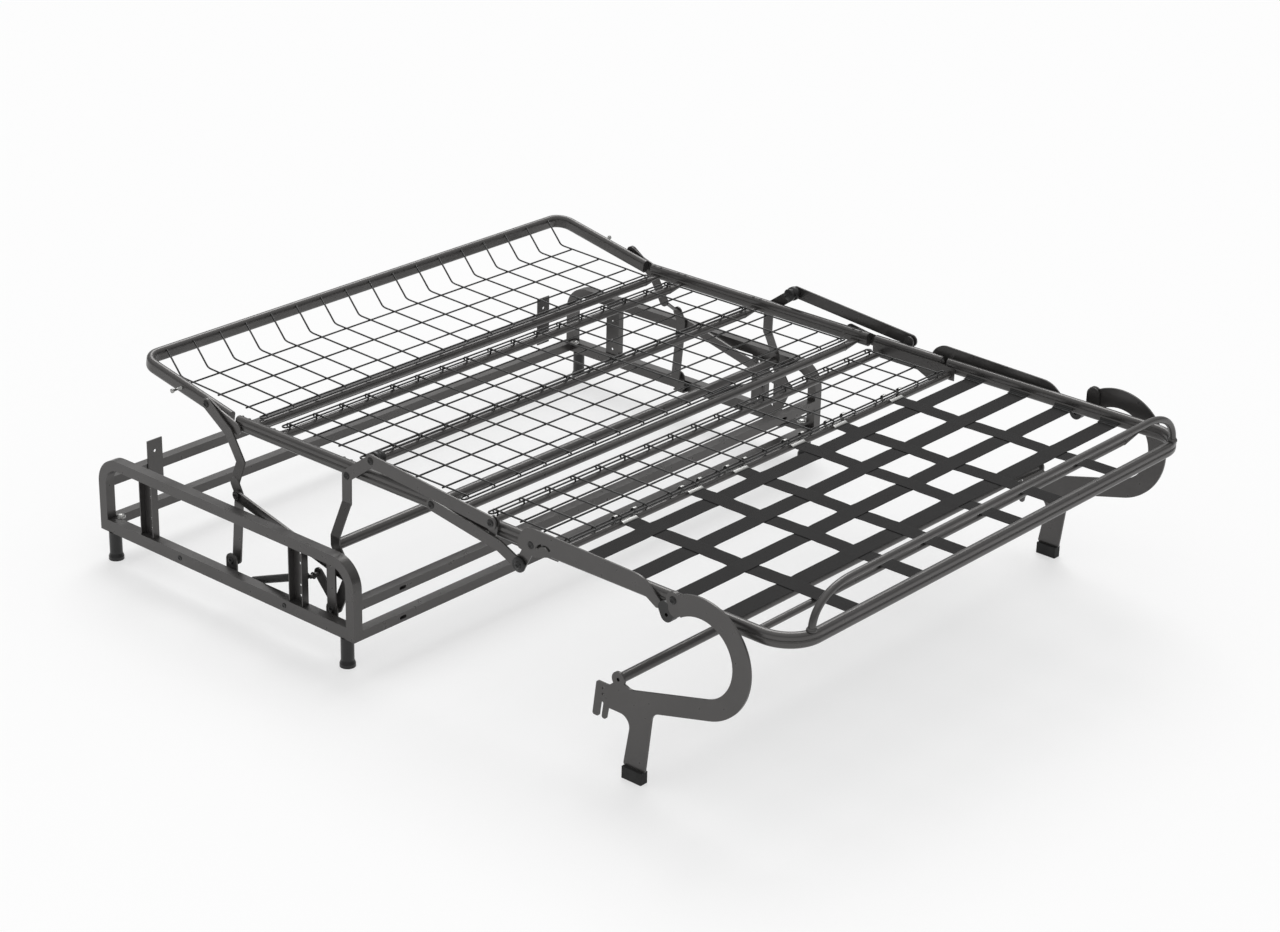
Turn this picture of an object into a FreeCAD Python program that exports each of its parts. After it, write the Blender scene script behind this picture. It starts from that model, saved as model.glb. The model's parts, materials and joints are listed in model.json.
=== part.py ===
import FreeCAD, Part
import math
import os

import Sketcher
from FreeCAD import Placement, Rotation, Vector

# Sofa bed mechanism, opened into a bed. X is the width, +Y the head end, Z up from the floor.
# The origin lies on the floor under the middle of the opened bed. Lengths are in millimetres.

SIZES = {
    # Bed frame rails
    "rail_span": 1400.0,
    "rail_width": 20.0,
    "rail_height": 34.0,
    "rail_corner": 9.0,
    "bed_top": 430.0,
    "groove_half": 3.0,
    "groove_depth": 2.0,
    # Pivots of the linkage, seen from the side; a drop is counted down from the top of the bed
    "arm_pivot_y": 240.8,
    "arm_pivot_z": 101.5,
    "rear_pivot_y": 567.4,
    "rear_pivot_z": 110.8,
    "brace_front_y": 201.3,
    "brace_front_z": 187.7,
    "brace_rear_y": 552.7,
    "brace_rear_z": 271.8,
    "seat_pivot_y": 240.8,
    "seat_pivot_drop": 26.4,
    "arm_tip_y": 160.0,
    "arm_tip_drop": -34.1,
    "head_link_y": 693.9,
    "head_link_drop": -9.1,
    "head_hinge_y": 600.3,
    "head_hinge_drop": 25.7,
    "short_hinge_y": -114.6,
    "short_hinge_drop": 22.5,
    "upper_link_y": -193.7,
    "upper_link_drop": -3.2,
    "lower_link_y": -16.1,
    "lower_link_drop": 13.9,
    "tail_pivot_y": -268.8,
    "tail_pivot_drop": 68.7,
    "foot_hinge_y": -297.4,
    "foot_hinge_drop": 16.8,
    "leg_pivot_y": -703.0,
    "leg_pivot_drop": -7.0,
    # Bends of the flat bars
    "arm_bend_y": 243.0,
    "arm_bend_z": 249.0,
    "lever_y": 298.0,
    "lever_z": 164.0,
    "rear_neck_y": 566.0,
    "rear_neck_z": 297.0,
    "rear_bend_y": 584.0,
    "rear_bend_z": 330.0,
    "rear_top_y": 622.0,
    "rear_top_drop": 38.0,
    "link_bend_y": -212.0,
    "link_bend_drop": 44.0,
    # Flat bars, and the clearances between their layers from the rail outwards
    "plate_thickness": 4.0,
    "layer_gap": 1.5,
    "bar_half_width": 13.5,
    "link_half_width": 15.0,
    "brace_half_width": 12.0,
    "leg_offset": 28.0,
    "arm_offset": 42.0,
    "brace_gap": 2.0,
    "brace_depth": 6.0,
    "brace_wall": 2.0,
    "tab_gap": 4.0,
    "tab_wall": 4.0,
    "base_gap": 11.5,
    "leg_thickness": 5.0,
    "pin_radius": 5.0,
    "pin_clearance": 0.3,
    "eye_wall": 3.0,
    "swing_room": 7.0,
    "arm_joggle_low": 22.0,
    "arm_joggle_high": 92.0,
    "pad_radius": 8.0,
    "hinge_seat": 40.0,
    "ear_shift": 4.0,
    "ear_half_width": 13.0,
    # Base frame
    "base_tube": 25.0,
    "base_rear": 980.0,
    "base_front": 132.0,
    "base_bottom": 70.0,
    "base_top": 258.0,
    "base_corner": 55.0,
    "sill_height": 30.0,
    "crossbar_height": 22.0,
    "slot_half_length": 6.0,
    "slot_radius": 4.0,
    "slot_inset": 122.0,
    "front_upper_z": 142.0,
    "front_lower_z": 70.0,
    "rear_upper_z": 179.0,
    "rear_lower_z": 77.0,
    # Punched strips and brackets of the base
    "strip_thickness": 2.5,
    "strip_width": 44.0,
    "strip_depth": 18.0,
    "strip_inset": 3.5,
    "strip_front_y": 297.0,
    "strip_rear_y": 796.0,
    "strip_hole_edge": 15.0,
    "strip_hole_pitch": 25.0,
    "strip_hole_radius": 3.5,
    "bracket_inset": 38.0,
    "bracket_width": 44.0,
    "bracket_thickness": 3.0,
    "bracket_bottom": 129.0,
    "bracket_hole_low": 146.0,
    "bracket_hole_high": 229.0,
    "bracket_hole_radius": 4.0,
    # Legs of the base
    "leg_radius": 15.0,
    "leg_flare": 18.0,
    "leg_flare_height": 8.0,
    "leg_inset": 35.0,
    # Headrest
    "head_tilt": 10.9,
    "head_length": 338.0,
    "head_start": 34.0,
    "head_offset": 6.0,
    "head_corner": 40.0,
    "head_bar_radius": 6.0,
    "head_bar_along": 52.0,
    "head_bar_rise": 3.0,
    "head_plate_end": 58.0,
    "head_mesh_dip": 6.0,
    "head_mesh_rise": 14.6,
    "head_mesh_length": 193.0,
    "head_mesh_lap": 3.0,
    "head_mesh_gap": 1.6,
    # Cross tubes
    "bar_radius": 10.0,
    "bar_drop": 30.0,
    "bar_end_length": 46.0,
    "bar_end_half": 12.0,
    "bar_end_thickness": 3.0,
    "bar_head": 588.0,
    "bar_rear": 507.0,
    "bar_middle": 262.0,
    "bar_front": -51.0,
    "short_bar_rear": -132.0,
    "short_bar_front": -334.0,
    "short_bar_radius": 8.0,
    "short_bar_drop": 18.0,
    "web_thickness": 3.0,
    "web_drop": 30.0,
    "web_rise": 4.0,
    "web_margin": 14.0,
    "arm_tube_radius": 12.5,
    # Foot section
    "foot_end": -970.0,
    "foot_corner": 75.0,
    "foot_bar": -846.0,
    "foot_bar_radius": 8.0,
    "strap_width": 46.0,
    "strap_thickness": 2.0,
    "strap_gap": 0.3,
    "strap_drop": 32.0,
    "strap_first": -406.0,
    "strap_pitch": 124.0,
    "long_strap_inner": 100.0,
    "long_strap_middle": 252.0,
    "long_strap_outer": 464.0,
    "long_strap_start": 10.0,
    "hoop_radius": 8.0,
    "hoop_inset": 55.0,
    "hoop_slope": 97.0,
    "hoop_height": 76.0,
    "hoop_stub": 12.0,
    "hoop_bend": 14.0,
    # Wire meshes
    "wire": 3.0,
    "mesh_margin": 50.0,
    # Plates, brackets and stops of the foot section
    "plate_head": 37.0,
    "plate_rise": 40.0,
    "plate_shoulder": 303.0,
    "plate_tip": 353.0,
    "plate_edge": 8.0,
    "plate_head_bend": 45.0,
    "plate_tip_bend": 60.0,
    "plate_pad_first": 60.0,
    "plate_pad_pitch": 120.0,
    "slot_offset_y": 36.6,
    "slot_offset_z": 13.2,
    "slot_outer": 26.0,
    "slot_inner": 20.0,
    "bracket_half": 14.0,
    "bracket_web_drop": 6.0,
    "bracket_web_rise": 2.0,
    "bracket_ear": 17.0,
    "bumper_gap": 18.0,
    "bumper_slant": 6.0,
    "bumper_drop": 28.0,
    "bumper_length": 12.0,
    "bumper_radius": 16.0,
    "bumper_depth": 17.5,
    "bumper_hole": 4.0,
    # Leg plates under the foot section
    "hook_center_y": -772.0,
    "hook_center_drop": 95.0,
    "hook_outer": 131.0,
    "hook_inner": 86.0,
    "hook_head": 18.0,
    "hook_slope": 14.7,
    "hook_tube_y": -566.0,
    "hook_tube_drop": 217.0,
    "hook_tube_radius": 11.0,
    "hook_boss": 17.0,
    "leg_foot_y": -613.0,
    "leg_foot_half": 29.0,
    "leg_foot_height": 27.0,
    "leg_foot_width": 20.0,
    "leg_foot_length": 52.0,
    "leg_neck": 45.0,
    "leg_bend": 25.0,
    "leg_edge": 5.0,
    "tongue_drop": 73.0,
    "tongue_reach": 58.0,
    "fork_drop": 102.0,
    "fork_width": 12.0,
    "tongue_hole": 3.0,
    "tongue_hole_pitch": 13.0,
    "tube_screw": 4.0,
    "fork_gap": 8.0,
    # Tension springs
    "spring_radius": 9.0,
    "spring_offset": 3.0,
    "spring_end_y": 505.0,
    "spring_end_z": 82.0,
    "spring_stud_radius": 5.0,
    "spring_hook_gap": 0.3,
}

LEFT = -1
RIGHT = 1
SIDES = {"left": LEFT, "right": RIGHT}

doc = FreeCAD.newDocument("SofaBedMechanism")
sheet = doc.addObject("Spreadsheet::Sheet", "Sizes")
for row, (alias, value) in enumerate(SIZES.items(), 1):
    sheet.set(f"A{row}", alias)
    sheet.set(f"B{row}", str(value))
    sheet.setAlias(f"B{row}", alias)
doc.recompute()


class Dim:
    """A length that knows its value and the spreadsheet expression it comes from."""

    def __init__(self, value, text):
        self.value = value
        self.text = text

    def __add__(self, other):
        other = dim(other)
        return Dim(self.value + other.value, f"({self.text} + {other.text})")

    def __sub__(self, other):
        other = dim(other)
        return Dim(self.value - other.value, f"({self.text} - {other.text})")

    def __mul__(self, factor):
        return Dim(self.value * factor, f"({self.text} * {factor})")

    def __neg__(self):
        return self * -1

    def __truediv__(self, factor):
        return Dim(self.value / factor, f"({self.text} / {factor})")

    __radd__ = __add__
    __rmul__ = __mul__


def dim(number):
    """A plain number as a length of its own."""
    return number if isinstance(number, Dim) else Dim(float(number), f"({float(number)})")


def size(alias):
    """A driving dimension of the sheet."""
    return Dim(float(sheet.get(alias)), f"Sizes.{alias}")


def pivot(alias):
    """A pivot in the side view as (y, z), given by its height or by its drop from the top of the bed."""
    if alias + "_z" in SIZES:
        return size(alias + "_y"), size(alias + "_z")
    return size(alias + "_y"), size("bed_top") - size(alias + "_drop")


def bind(item, name, length):
    """Set a property and tie it to the sheet."""
    item.setExpression(name, dim(length).text)


def new_body(label):
    body = doc.addObject("PartDesign::Body", label)
    body.Label = label
    return body


def new_sketch(body, name, plane, level):
    """A sketch parallel to one of the body's own planes, at a level along X, Y or Z."""
    sketch = body.newObject("Sketcher::SketchObject", name)
    support = next(item for item in body.Origin.OriginFeatures if item.Role == plane + "_Plane")
    sketch.AttachmentSupport = [(support, "")]
    sketch.MapMode = "FlatFace"
    bind(sketch, "AttachmentOffset.Base.z", -dim(level) if plane == "XZ" else level)
    return sketch


def constrain(sketch, kind, references, length):
    index = sketch.addConstraint(Sketcher.Constraint(kind, *references, dim(length).value))
    sketch.setExpression(f"Constraints[{index}]", dim(length).text)


def fix_point(sketch, geometry, position, point):
    constrain(sketch, "DistanceX", (-1, 1, geometry, position), point[0])
    constrain(sketch, "DistanceY", (-1, 1, geometry, position), point[1])


def flat(point):
    return Vector(dim(point[0]).value, dim(point[1]).value, 0)


def add_polygon(sketch, points):
    """Straight edges through the points, closed."""
    corners = [flat(point) for point in points]
    first = sketch.GeometryCount
    count = len(points)
    for index in range(count):
        sketch.addGeometry(Part.LineSegment(corners[index], corners[(index + 1) % count]))
    for index in range(count):
        following = first + (index + 1) % count
        sketch.addConstraint(Sketcher.Constraint("Coincident", first + index, 2, following, 1))
    for index, point in enumerate(points):
        fix_point(sketch, first + index, 1, point)


def add_circle(sketch, center, radius):
    circle = sketch.addGeometry(Part.Circle(flat(center), Vector(0, 0, 1), dim(radius).value))
    fix_point(sketch, circle, 3, center)
    constrain(sketch, "Radius", (circle,), radius)


def add_capsule(sketch, start, end, radius):
    """Two tangent lines between round ends about the two centres."""
    a, b, r = flat(start), flat(end), dim(radius).value
    heading = math.atan2(b.y - a.y, b.x - a.x)
    side = Vector(-math.sin(heading), math.cos(heading), 0) * r
    axis = Vector(0, 0, 1)
    quarter = math.pi / 2
    upper = sketch.addGeometry(Part.LineSegment(a + side, b + side))
    lower = sketch.addGeometry(Part.LineSegment(b - side, a - side))
    far = sketch.addGeometry(Part.ArcOfCircle(Part.Circle(b, axis, r), heading - quarter, heading + quarter))
    near = sketch.addGeometry(
        Part.ArcOfCircle(Part.Circle(a, axis, r), heading + quarter, heading + 3 * quarter))
    for joint in ((upper, 2, far, 2), (far, 1, lower, 1), (lower, 2, near, 2), (near, 1, upper, 1)):
        sketch.addConstraint(Sketcher.Constraint("Tangent", *joint))
    sketch.addConstraint(Sketcher.Constraint("Equal", far, near))
    fix_point(sketch, far, 3, end)
    fix_point(sketch, near, 3, start)
    constrain(sketch, "Radius", (far,), radius)


def add_hook(sketch, center, outer, inner, first, last):
    """A ring sector between two angles in degrees."""
    middle = flat(center)
    axis = Vector(0, 0, 1)
    a, b = math.radians(first), math.radians(last)
    big = sketch.addGeometry(Part.ArcOfCircle(Part.Circle(middle, axis, dim(outer).value), a, b))
    small = sketch.addGeometry(Part.ArcOfCircle(Part.Circle(middle, axis, dim(inner).value), a, b))
    ends = []
    for angle in (a, b):
        ray = Vector(math.cos(angle), math.sin(angle), 0)
        ends.append(sketch.addGeometry(Part.LineSegment(middle + ray * dim(inner).value,
                                                        middle + ray * dim(outer).value)))
    for line, position in zip(ends, (1, 2)):
        sketch.addConstraint(Sketcher.Constraint("Coincident", line, 1, small, position))
        sketch.addConstraint(Sketcher.Constraint("Coincident", line, 2, big, position))
    sketch.addConstraint(Sketcher.Constraint("Coincident", big, 3, small, 3))
    fix_point(sketch, big, 3, center)
    constrain(sketch, "Radius", (big,), outer)
    constrain(sketch, "Radius", (small,), inner)
    for position, angle in zip((1, 2), (a, b)):
        constrain(sketch, "DistanceX", (-1, 1, big, position), dim(center[0]) + dim(outer) * math.cos(angle))
        constrain(sketch, "DistanceX", (-1, 1, small, position), dim(center[0]) + dim(inner) * math.cos(angle))


def add_outline(sketch, corners):
    """Straight runs through the corners, closed, with a tangent arc of its own radius (y, z, r) at each."""
    points = [flat(corner) for corner in corners]
    count = len(corners)
    runs = [(points[(index + 1) % count] - points[index]).normalize() for index in range(count)]
    ends = []
    for index, (y, z, r) in enumerate(corners):
        turn = math.acos(max(-1.0, min(1.0, runs[index - 1].dot(runs[index]))))
        cut = dim(r) * math.tan(turn / 2)
        before, after = runs[index - 1], runs[index]
        ends.append(((dim(y) - cut * before.x, dim(z) - cut * before.y),
                     (dim(y) + cut * after.x, dim(z) + cut * after.y)))
    lines = []
    for index in range(count):
        start, stop = ends[index][1], ends[(index + 1) % count][0]
        lines.append(sketch.addGeometry(Part.LineSegment(flat(start), flat(stop))))
        fix_point(sketch, lines[-1], 1, start)
    for index, (y, z, r) in enumerate(corners):
        before, after = lines[index - 1], lines[index]
        if dim(r).value == 0.0:
            sketch.addConstraint(Sketcher.Constraint("Coincident", before, 2, after, 1))
            continue
        enter, leave = ends[index]
        fix_point(sketch, before, 2, enter)
        left_turn = runs[index - 1].cross(runs[index]).z > 0
        normal = Vector(-runs[index - 1].y, runs[index - 1].x, 0) * (1 if left_turn else -1)
        center = flat(enter) + normal * dim(r).value
        middle = center + (points[index] - center).normalize() * dim(r).value
        arc = sketch.addGeometry(Part.Arc(flat(enter), middle, flat(leave)))
        head, tail = (1, 2) if left_turn else (2, 1)
        sketch.addConstraint(Sketcher.Constraint("Coincident", before, 2, arc, head))
        sketch.addConstraint(Sketcher.Constraint("Coincident", arc, tail, after, 1))
        constrain(sketch, "Radius", (arc,), r)


def extrude(body, sketch, length, name, kind="Pad", backwards=False):
    feature = body.newObject("PartDesign::" + kind, name)
    feature.Profile = sketch
    bind(feature, "Length", length)
    feature.Reversed = backwards
    return feature


def plate(body, name, layer, thickness, draw, *shape):
    """A flat piece in the side view, from a layer along X."""
    sketch = new_sketch(body, name + "_sketch", "YZ", layer)
    draw(sketch, *shape)
    return extrude(body, sketch, thickness, name)


def bore(body, name, layer, depth, center, radius):
    """A round hole along X, from a layer towards +X."""
    sketch = new_sketch(body, name + "_sketch", "YZ", layer)
    add_circle(sketch, center, radius)
    return extrude(body, sketch, depth, name, "Pocket", True)


def block(body, name, corner_low, corner_high):
    """A straight bar between two opposite corners."""
    (x0, y0, z0), (x1, y1, z1) = corner_low, corner_high
    sketch = new_sketch(body, name + "_sketch", "XY", z0)
    add_polygon(sketch, [(x0, y0), (x1, y0), (x1, y1), (x0, y1)])
    return extrude(body, sketch, dim(z1) - z0, name)


def start_of(side, inner, depth):
    """Where a layer begins along X on the left or right side."""
    return dim(inner) if side == RIGHT else -(dim(inner) + depth)


def tube_across(label, y, z, radius, reach):
    """A round tube across the bed, from -reach to +reach."""
    body = new_body(label)
    plate(body, label + "_tube", -dim(reach), dim(reach) * 2, add_circle, (y, z), radius)
    return body


def flat_ended_tube(label, y, z, radius, end_z):
    """A round tube across the bed whose ends are pressed flat and turned up to the rails."""
    body = new_body(label)
    reach = rail_inner - size("bar_end_length")
    plate(body, label + "_tube", -reach, reach * 2, add_circle, (y, z), radius)
    pressed = size("bar_end_half")
    edge = size("bar_end_thickness")
    for tag, side in SIDES.items():
        sections = []
        for name, x, half, r, level in (("round", reach, edge / 3, radius, z),
                                        ("flat", rail_inner, pressed - edge, edge, end_z)):
            sketch = new_sketch(body, f"{label}_{tag}_{name}", "YZ", x * side)
            add_capsule(sketch, (y - half, level), (y + half, level), r)
            sections.append(sketch)
        end = body.newObject("PartDesign::AdditiveLoft", f"{label}_{tag}_end")
        end.Profile = sections[0]
        end.Sections = sections[1:]
    return body


def bent_path(sketch, points, radius):
    """Straight runs between the points, with a tangent arc at each inner corner."""
    corners = [flat(point) for point in points]
    runs = [(corners[i + 1] - corners[i]).normalize() for i in range(len(points) - 1)]
    r = dim(radius)
    previous = points[0]
    lines = []
    arcs = []
    for index in range(len(runs)):
        last = index == len(runs) - 1
        if last:
            end = points[-1]
        else:
            turn = math.acos(max(-1.0, min(1.0, runs[index].dot(runs[index + 1]))))
            cut = r * math.tan(turn / 2)
            here, ahead = runs[index], runs[index + 1]
            corner = points[index + 1]
            end = (dim(corner[0]) - cut * here.x, dim(corner[1]) - cut * here.y)
            begin = (dim(corner[0]) + cut * ahead.x, dim(corner[1]) + cut * ahead.y)
        line = sketch.addGeometry(Part.LineSegment(flat(previous), flat(end)))
        fix_point(sketch, line, 1, previous)
        fix_point(sketch, line, 2, end)
        lines.append(line)
        if not last:
            left_turn = here.cross(ahead).z > 0
            normal = Vector(-here.y, here.x, 0) if left_turn else Vector(here.y, -here.x, 0)
            center = flat(end) + normal * r.value
            middle = center + (flat(corner) - center).normalize() * r.value
            arcs.append((sketch.addGeometry(Part.Arc(flat(end), middle, flat(begin))), left_turn))
            previous = begin
    for index, (arc, left_turn) in enumerate(arcs):
        head, tail = (1, 2) if left_turn else (2, 1)
        sketch.addConstraint(Sketcher.Constraint("Coincident", lines[index], 2, arc, head))
        sketch.addConstraint(Sketcher.Constraint("Coincident", arc, tail, lines[index + 1], 1))
        constrain(sketch, "Radius", (arc,), r)
    return [f"Edge{number}" for number in range(1, len(lines) + len(arcs) + 1)]


def bent_tube(body, name, plane, level, points, radius, section_plane, section_level, draw, *shape):
    """A tube section carried along a bent path."""
    path = new_sketch(body, name + "_path", plane, level)
    edges = bent_path(path, points, radius)
    section = new_sketch(body, name + "_section", section_plane, section_level)
    draw(section, *shape)
    pipe = body.newObject("PartDesign::AdditivePipe", name)
    pipe.Profile = section
    pipe.Spine = (path, edges)
    return pipe


def joggle(body, name, side, low, high, low_layer, high_layer, thickness, half_width):
    """A sloping run that carries a flat bar from one layer to another."""
    sections = []
    for tag, (y, z), layer in (("low", low, low_layer), ("high", high, high_layer)):
        sketch = new_sketch(body, f"{name}_{tag}", "XY", z)
        x = start_of(side, layer, thickness)
        add_polygon(sketch, [(x, y - half_width), (x + thickness, y - half_width),
                             (x + thickness, y + half_width), (x, y + half_width)])
        sections.append(sketch)
    loft = body.newObject("PartDesign::AdditiveLoft", name)
    loft.Profile = sections[0]
    loft.Sections = sections[1:]
    loft.Ruled = True
    return loft


def share(label, items):
    """Like pieces of one body kept in one sub-part."""
    group = doc.addObject("Part::Compound", label)
    group.Label = label
    group.Links = items
    return group


# Values worked out from the sheet

half_span = size("rail_span") / 2
rail_half = size("rail_width") / 2
rail_inner = half_span - rail_half
rail_outer = half_span + rail_half
rail_middle = size("bed_top") - size("rail_height") / 2
rail_low_center = size("bed_top") - size("rail_height") + rail_half
thick = size("plate_thickness")
gap = size("layer_gap")
first_layer = rail_outer + gap
second_layer = first_layer + thick + gap
third_layer = second_layer + thick + gap
leg_layer = rail_outer + size("leg_offset")
arm_layer = rail_outer + size("arm_offset")
brace_layer = arm_layer + thick + size("brace_gap")
tab_layer = brace_layer + size("brace_depth") + size("tab_gap")
spring_layer = tab_layer + size("spring_offset")
tube = size("base_tube")
base_inner = tab_layer + thick + size("base_gap")
base_x = base_inner + tube / 2
pin = size("pin_radius")
hole = pin + size("pin_clearance")
bar_half = size("bar_half_width")
link_half = size("link_half_width")
wire = size("wire")
MESH_COLUMNS = 16
mesh_pitch = (rail_inner - size("mesh_margin")) * 2 / MESH_COLUMNS

arm_pivot = pivot("arm_pivot")
rear_pivot = pivot("rear_pivot")
brace_front = pivot("brace_front")
brace_rear = pivot("brace_rear")
seat_pivot = pivot("seat_pivot")
arm_tip = pivot("arm_tip")
head_link = pivot("head_link")
head_hinge = pivot("head_hinge")
short_hinge = pivot("short_hinge")
upper_link = pivot("upper_link")
lower_link = pivot("lower_link")
tail_pivot = pivot("tail_pivot")
foot_hinge = pivot("foot_hinge")
leg_pivot = pivot("leg_pivot")
arm_bend = pivot("arm_bend")
lever = pivot("lever")
rear_neck = pivot("rear_neck")
rear_bend = pivot("rear_bend")
rear_top = pivot("rear_top")
link_bend = pivot("link_bend")
spring_end = pivot("spring_end")
spring_run = (flat(spring_end) - flat(lever)).normalize()
spring_hook = size("spring_radius") + size("spring_stud_radius") + size("spring_hook_gap")
spring_start = (lever[0] + spring_hook * spring_run.x, lever[1] + spring_hook * spring_run.y)
spring_anchor = (spring_end[0] + spring_hook * spring_run.x, spring_end[1] + spring_hook * spring_run.y)
spring_inner = spring_layer - size("spring_radius")

swing_room = size("swing_room")
eye = pin + size("eye_wall")
main_end = short_hinge[0] + (size("bed_top") - short_hinge[1]) + swing_room
short_start = short_hinge[0] + eye
short_end = foot_hinge[0] - eye
foot_start = foot_hinge[0] - (size("bed_top") - foot_hinge[1]) - swing_room
main_head = head_hinge[0] + eye
web_inner = rail_inner - gap - size("web_thickness")


# Base frame

post_rear = size("base_rear") - tube / 2
post_front = size("base_front") + tube / 2
sill_top = size("base_bottom") + size("sill_height")


def side_frame(name, side):
    """A bent hoop of square tube with a sill between its posts."""
    body = new_body("side_frame_" + name)
    x = base_x * side
    top = size("base_top") - tube / 2
    bottom = size("base_bottom")
    points = [(post_rear, bottom), (post_rear, top), (post_front, top), (post_front, bottom)]
    corners = [(x - tube / 2, post_rear - tube / 2), (x + tube / 2, post_rear - tube / 2),
               (x + tube / 2, post_rear + tube / 2), (x - tube / 2, post_rear + tube / 2)]
    bent_tube(body, "hoop", "YZ", x, points, size("base_corner"), "XY", bottom, add_polygon, corners)
    block(body, "sill", (x - tube / 2, post_front + tube / 2, bottom),
          (x + tube / 2, post_rear - tube / 2, sill_top))
    reach = base_inner - spring_inner
    plate(body, "spring_stud", start_of(side, spring_inner, reach), reach, add_circle, spring_anchor,
          size("spring_stud_radius"))
    return body


def base_crossbar(label, y, z, slots):
    """A rectangular tube between the side frames, with long slots through it."""
    body = new_body(label)
    high = size("crossbar_height")
    block(body, label + "_tube", (-base_inner, y, z), (base_inner, y + tube, z + high))
    reach = size("slot_half_length")
    for index, x in enumerate(slots):
        sketch = new_sketch(body, f"slot_{index}_sketch", "XZ", y + tube)
        add_capsule(sketch, (x - reach, z + high / 2), (x + reach, z + high / 2), size("slot_radius"))
        extrude(body, sketch, tube, f"slot_{index}", "Pocket", True)
    return body


def base_leg(name, side, y):
    """A round leg with a flared foot, turned about its own axis."""
    body = new_body("base_leg_" + name)
    sketch = new_sketch(body, "leg_profile", "XZ", 0)
    r, flare, rise = size("leg_radius"), size("leg_flare"), size("leg_flare_height")
    add_polygon(sketch, [(0.0, 0.0), (flare, 0.0), (flare, rise), (r, rise * 2), (r, size("base_bottom")),
                         (0.0, size("base_bottom"))])
    turned = body.newObject("PartDesign::Revolution", "leg_turned")
    turned.Profile = sketch
    turned.ReferenceAxis = (sketch, ["V_Axis"])
    turned.Angle = 360
    bind(body, "Placement.Base.x", base_x * side)
    bind(body, "Placement.Base.y", y)
    return body


def pivot_tab(name, side, center, top):
    """An upright ear that holds an arm's lower pivot, flanged to the sill and, where tall, to the top tube."""
    body = new_body("pivot_tab_" + name)
    x = start_of(side, tab_layer, thick)
    half = bar_half + size("tab_wall")
    bottom = size("base_bottom")
    plate(body, "ear", x, thick, add_capsule, (center[0], bottom + half), center, half)
    depth = base_inner - tab_layer
    flange = start_of(side, tab_layer, depth)
    block(body, "flange", (flange, center[0] - half, bottom), (flange + depth, center[0] + half, bottom + thick))
    if top:
        left, right = center[0] - bar_half, center[0] + bar_half
        plate(body, "post", x, thick, add_polygon,
              [(left, center[1]), (right, center[1]), (right, top), (left, top)])
        block(body, "top_flange", (flange, left, top - thick), (flange + depth, right, top))
        bore(body, "post_hole", x, thick, (center[0], top - size("strip_hole_pitch")), size("strip_hole_radius"))
    bore(body, "eye", x, thick, center, hole)
    return body


def armrest_strip(name, side, y):
    """An upright channel between the sill and the top tube, open outwards, with four holes in its web."""
    body = new_body("armrest_strip_" + name)
    wall = size("strip_thickness")
    inner = base_inner + size("strip_inset")
    deep = size("strip_depth")
    bottom, top = sill_top, size("base_top") - tube
    width = size("strip_width")
    near, far = start_of(side, inner, wall), start_of(side, inner, deep)
    block(body, "web", (near, y, bottom), (near + wall, y + width, top))
    for tag, edge in (("front", y), ("rear", y + width - wall)):
        block(body, tag + "_flange", (far, edge, bottom), (far + deep, edge + wall, top))
    edge = size("strip_hole_edge")
    pitch = size("strip_hole_pitch")
    for index, z in enumerate((bottom + edge, bottom + edge + pitch, top - edge - pitch, top - edge)):
        bore(body, f"hole_{index}", near, wall, (y + width / 2, z), size("strip_hole_radius"))
    return body


def back_bracket(name, x):
    """An upright strip with holes that rises behind the bed from the rear crossbar."""
    body = new_body("back_bracket_" + name)
    deep = size("bracket_thickness")
    front = size("base_rear") - tube - deep
    half = size("bracket_width") / 2
    block(body, "strip", (x - half, front, size("bracket_bottom")), (x + half, front + deep, size("base_top")))
    for index, z in enumerate((size("bracket_hole_low"), size("bracket_hole_high"))):
        sketch = new_sketch(body, f"hole_{index}_sketch", "XZ", front + deep)
        add_circle(sketch, (x, z), size("bracket_hole_radius"))
        extrude(body, sketch, deep, f"hole_{index}", "Pocket", True)
    return body


for name, side in SIDES.items():
    side_frame(name, side)
rear_bar_y = size("base_rear") - tube
front_bar_y = size("base_front")
slot_x = base_inner - size("slot_inset")
base_crossbar("rear_upper_crossbar", rear_bar_y, size("rear_upper_z"), [])
base_crossbar("rear_lower_crossbar", rear_bar_y, size("rear_lower_z"), [])
base_crossbar("front_upper_crossbar", front_bar_y, size("front_upper_z"), [-slot_x, slot_x])
base_crossbar("front_lower_crossbar", front_bar_y, size("front_lower_z"), [-slot_x, dim(0.0), slot_x])
leg_rows = {"rear": size("base_rear") - size("leg_inset"), "front": size("base_front") + size("leg_inset")}
share("base_legs", [base_leg(f"{row}_{name}", side, y)
                    for row, y in leg_rows.items() for name, side in SIDES.items()])
for name, side in SIDES.items():
    share("pivot_tabs_" + name, [pivot_tab("front_" + name, side, arm_pivot, size("base_top") - tube),
                                 pivot_tab("rear_" + name, side, rear_pivot, None)])
    share("armrest_strips_" + name, [armrest_strip("front_" + name, side, size("strip_front_y")),
                                     armrest_strip("rear_" + name, side, size("strip_rear_y"))])
bracket_x = half_span - size("bracket_inset")
share("back_brackets", [back_bracket(name, bracket_x * side) for name, side in SIDES.items()])


# Swinging arms and links

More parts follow.
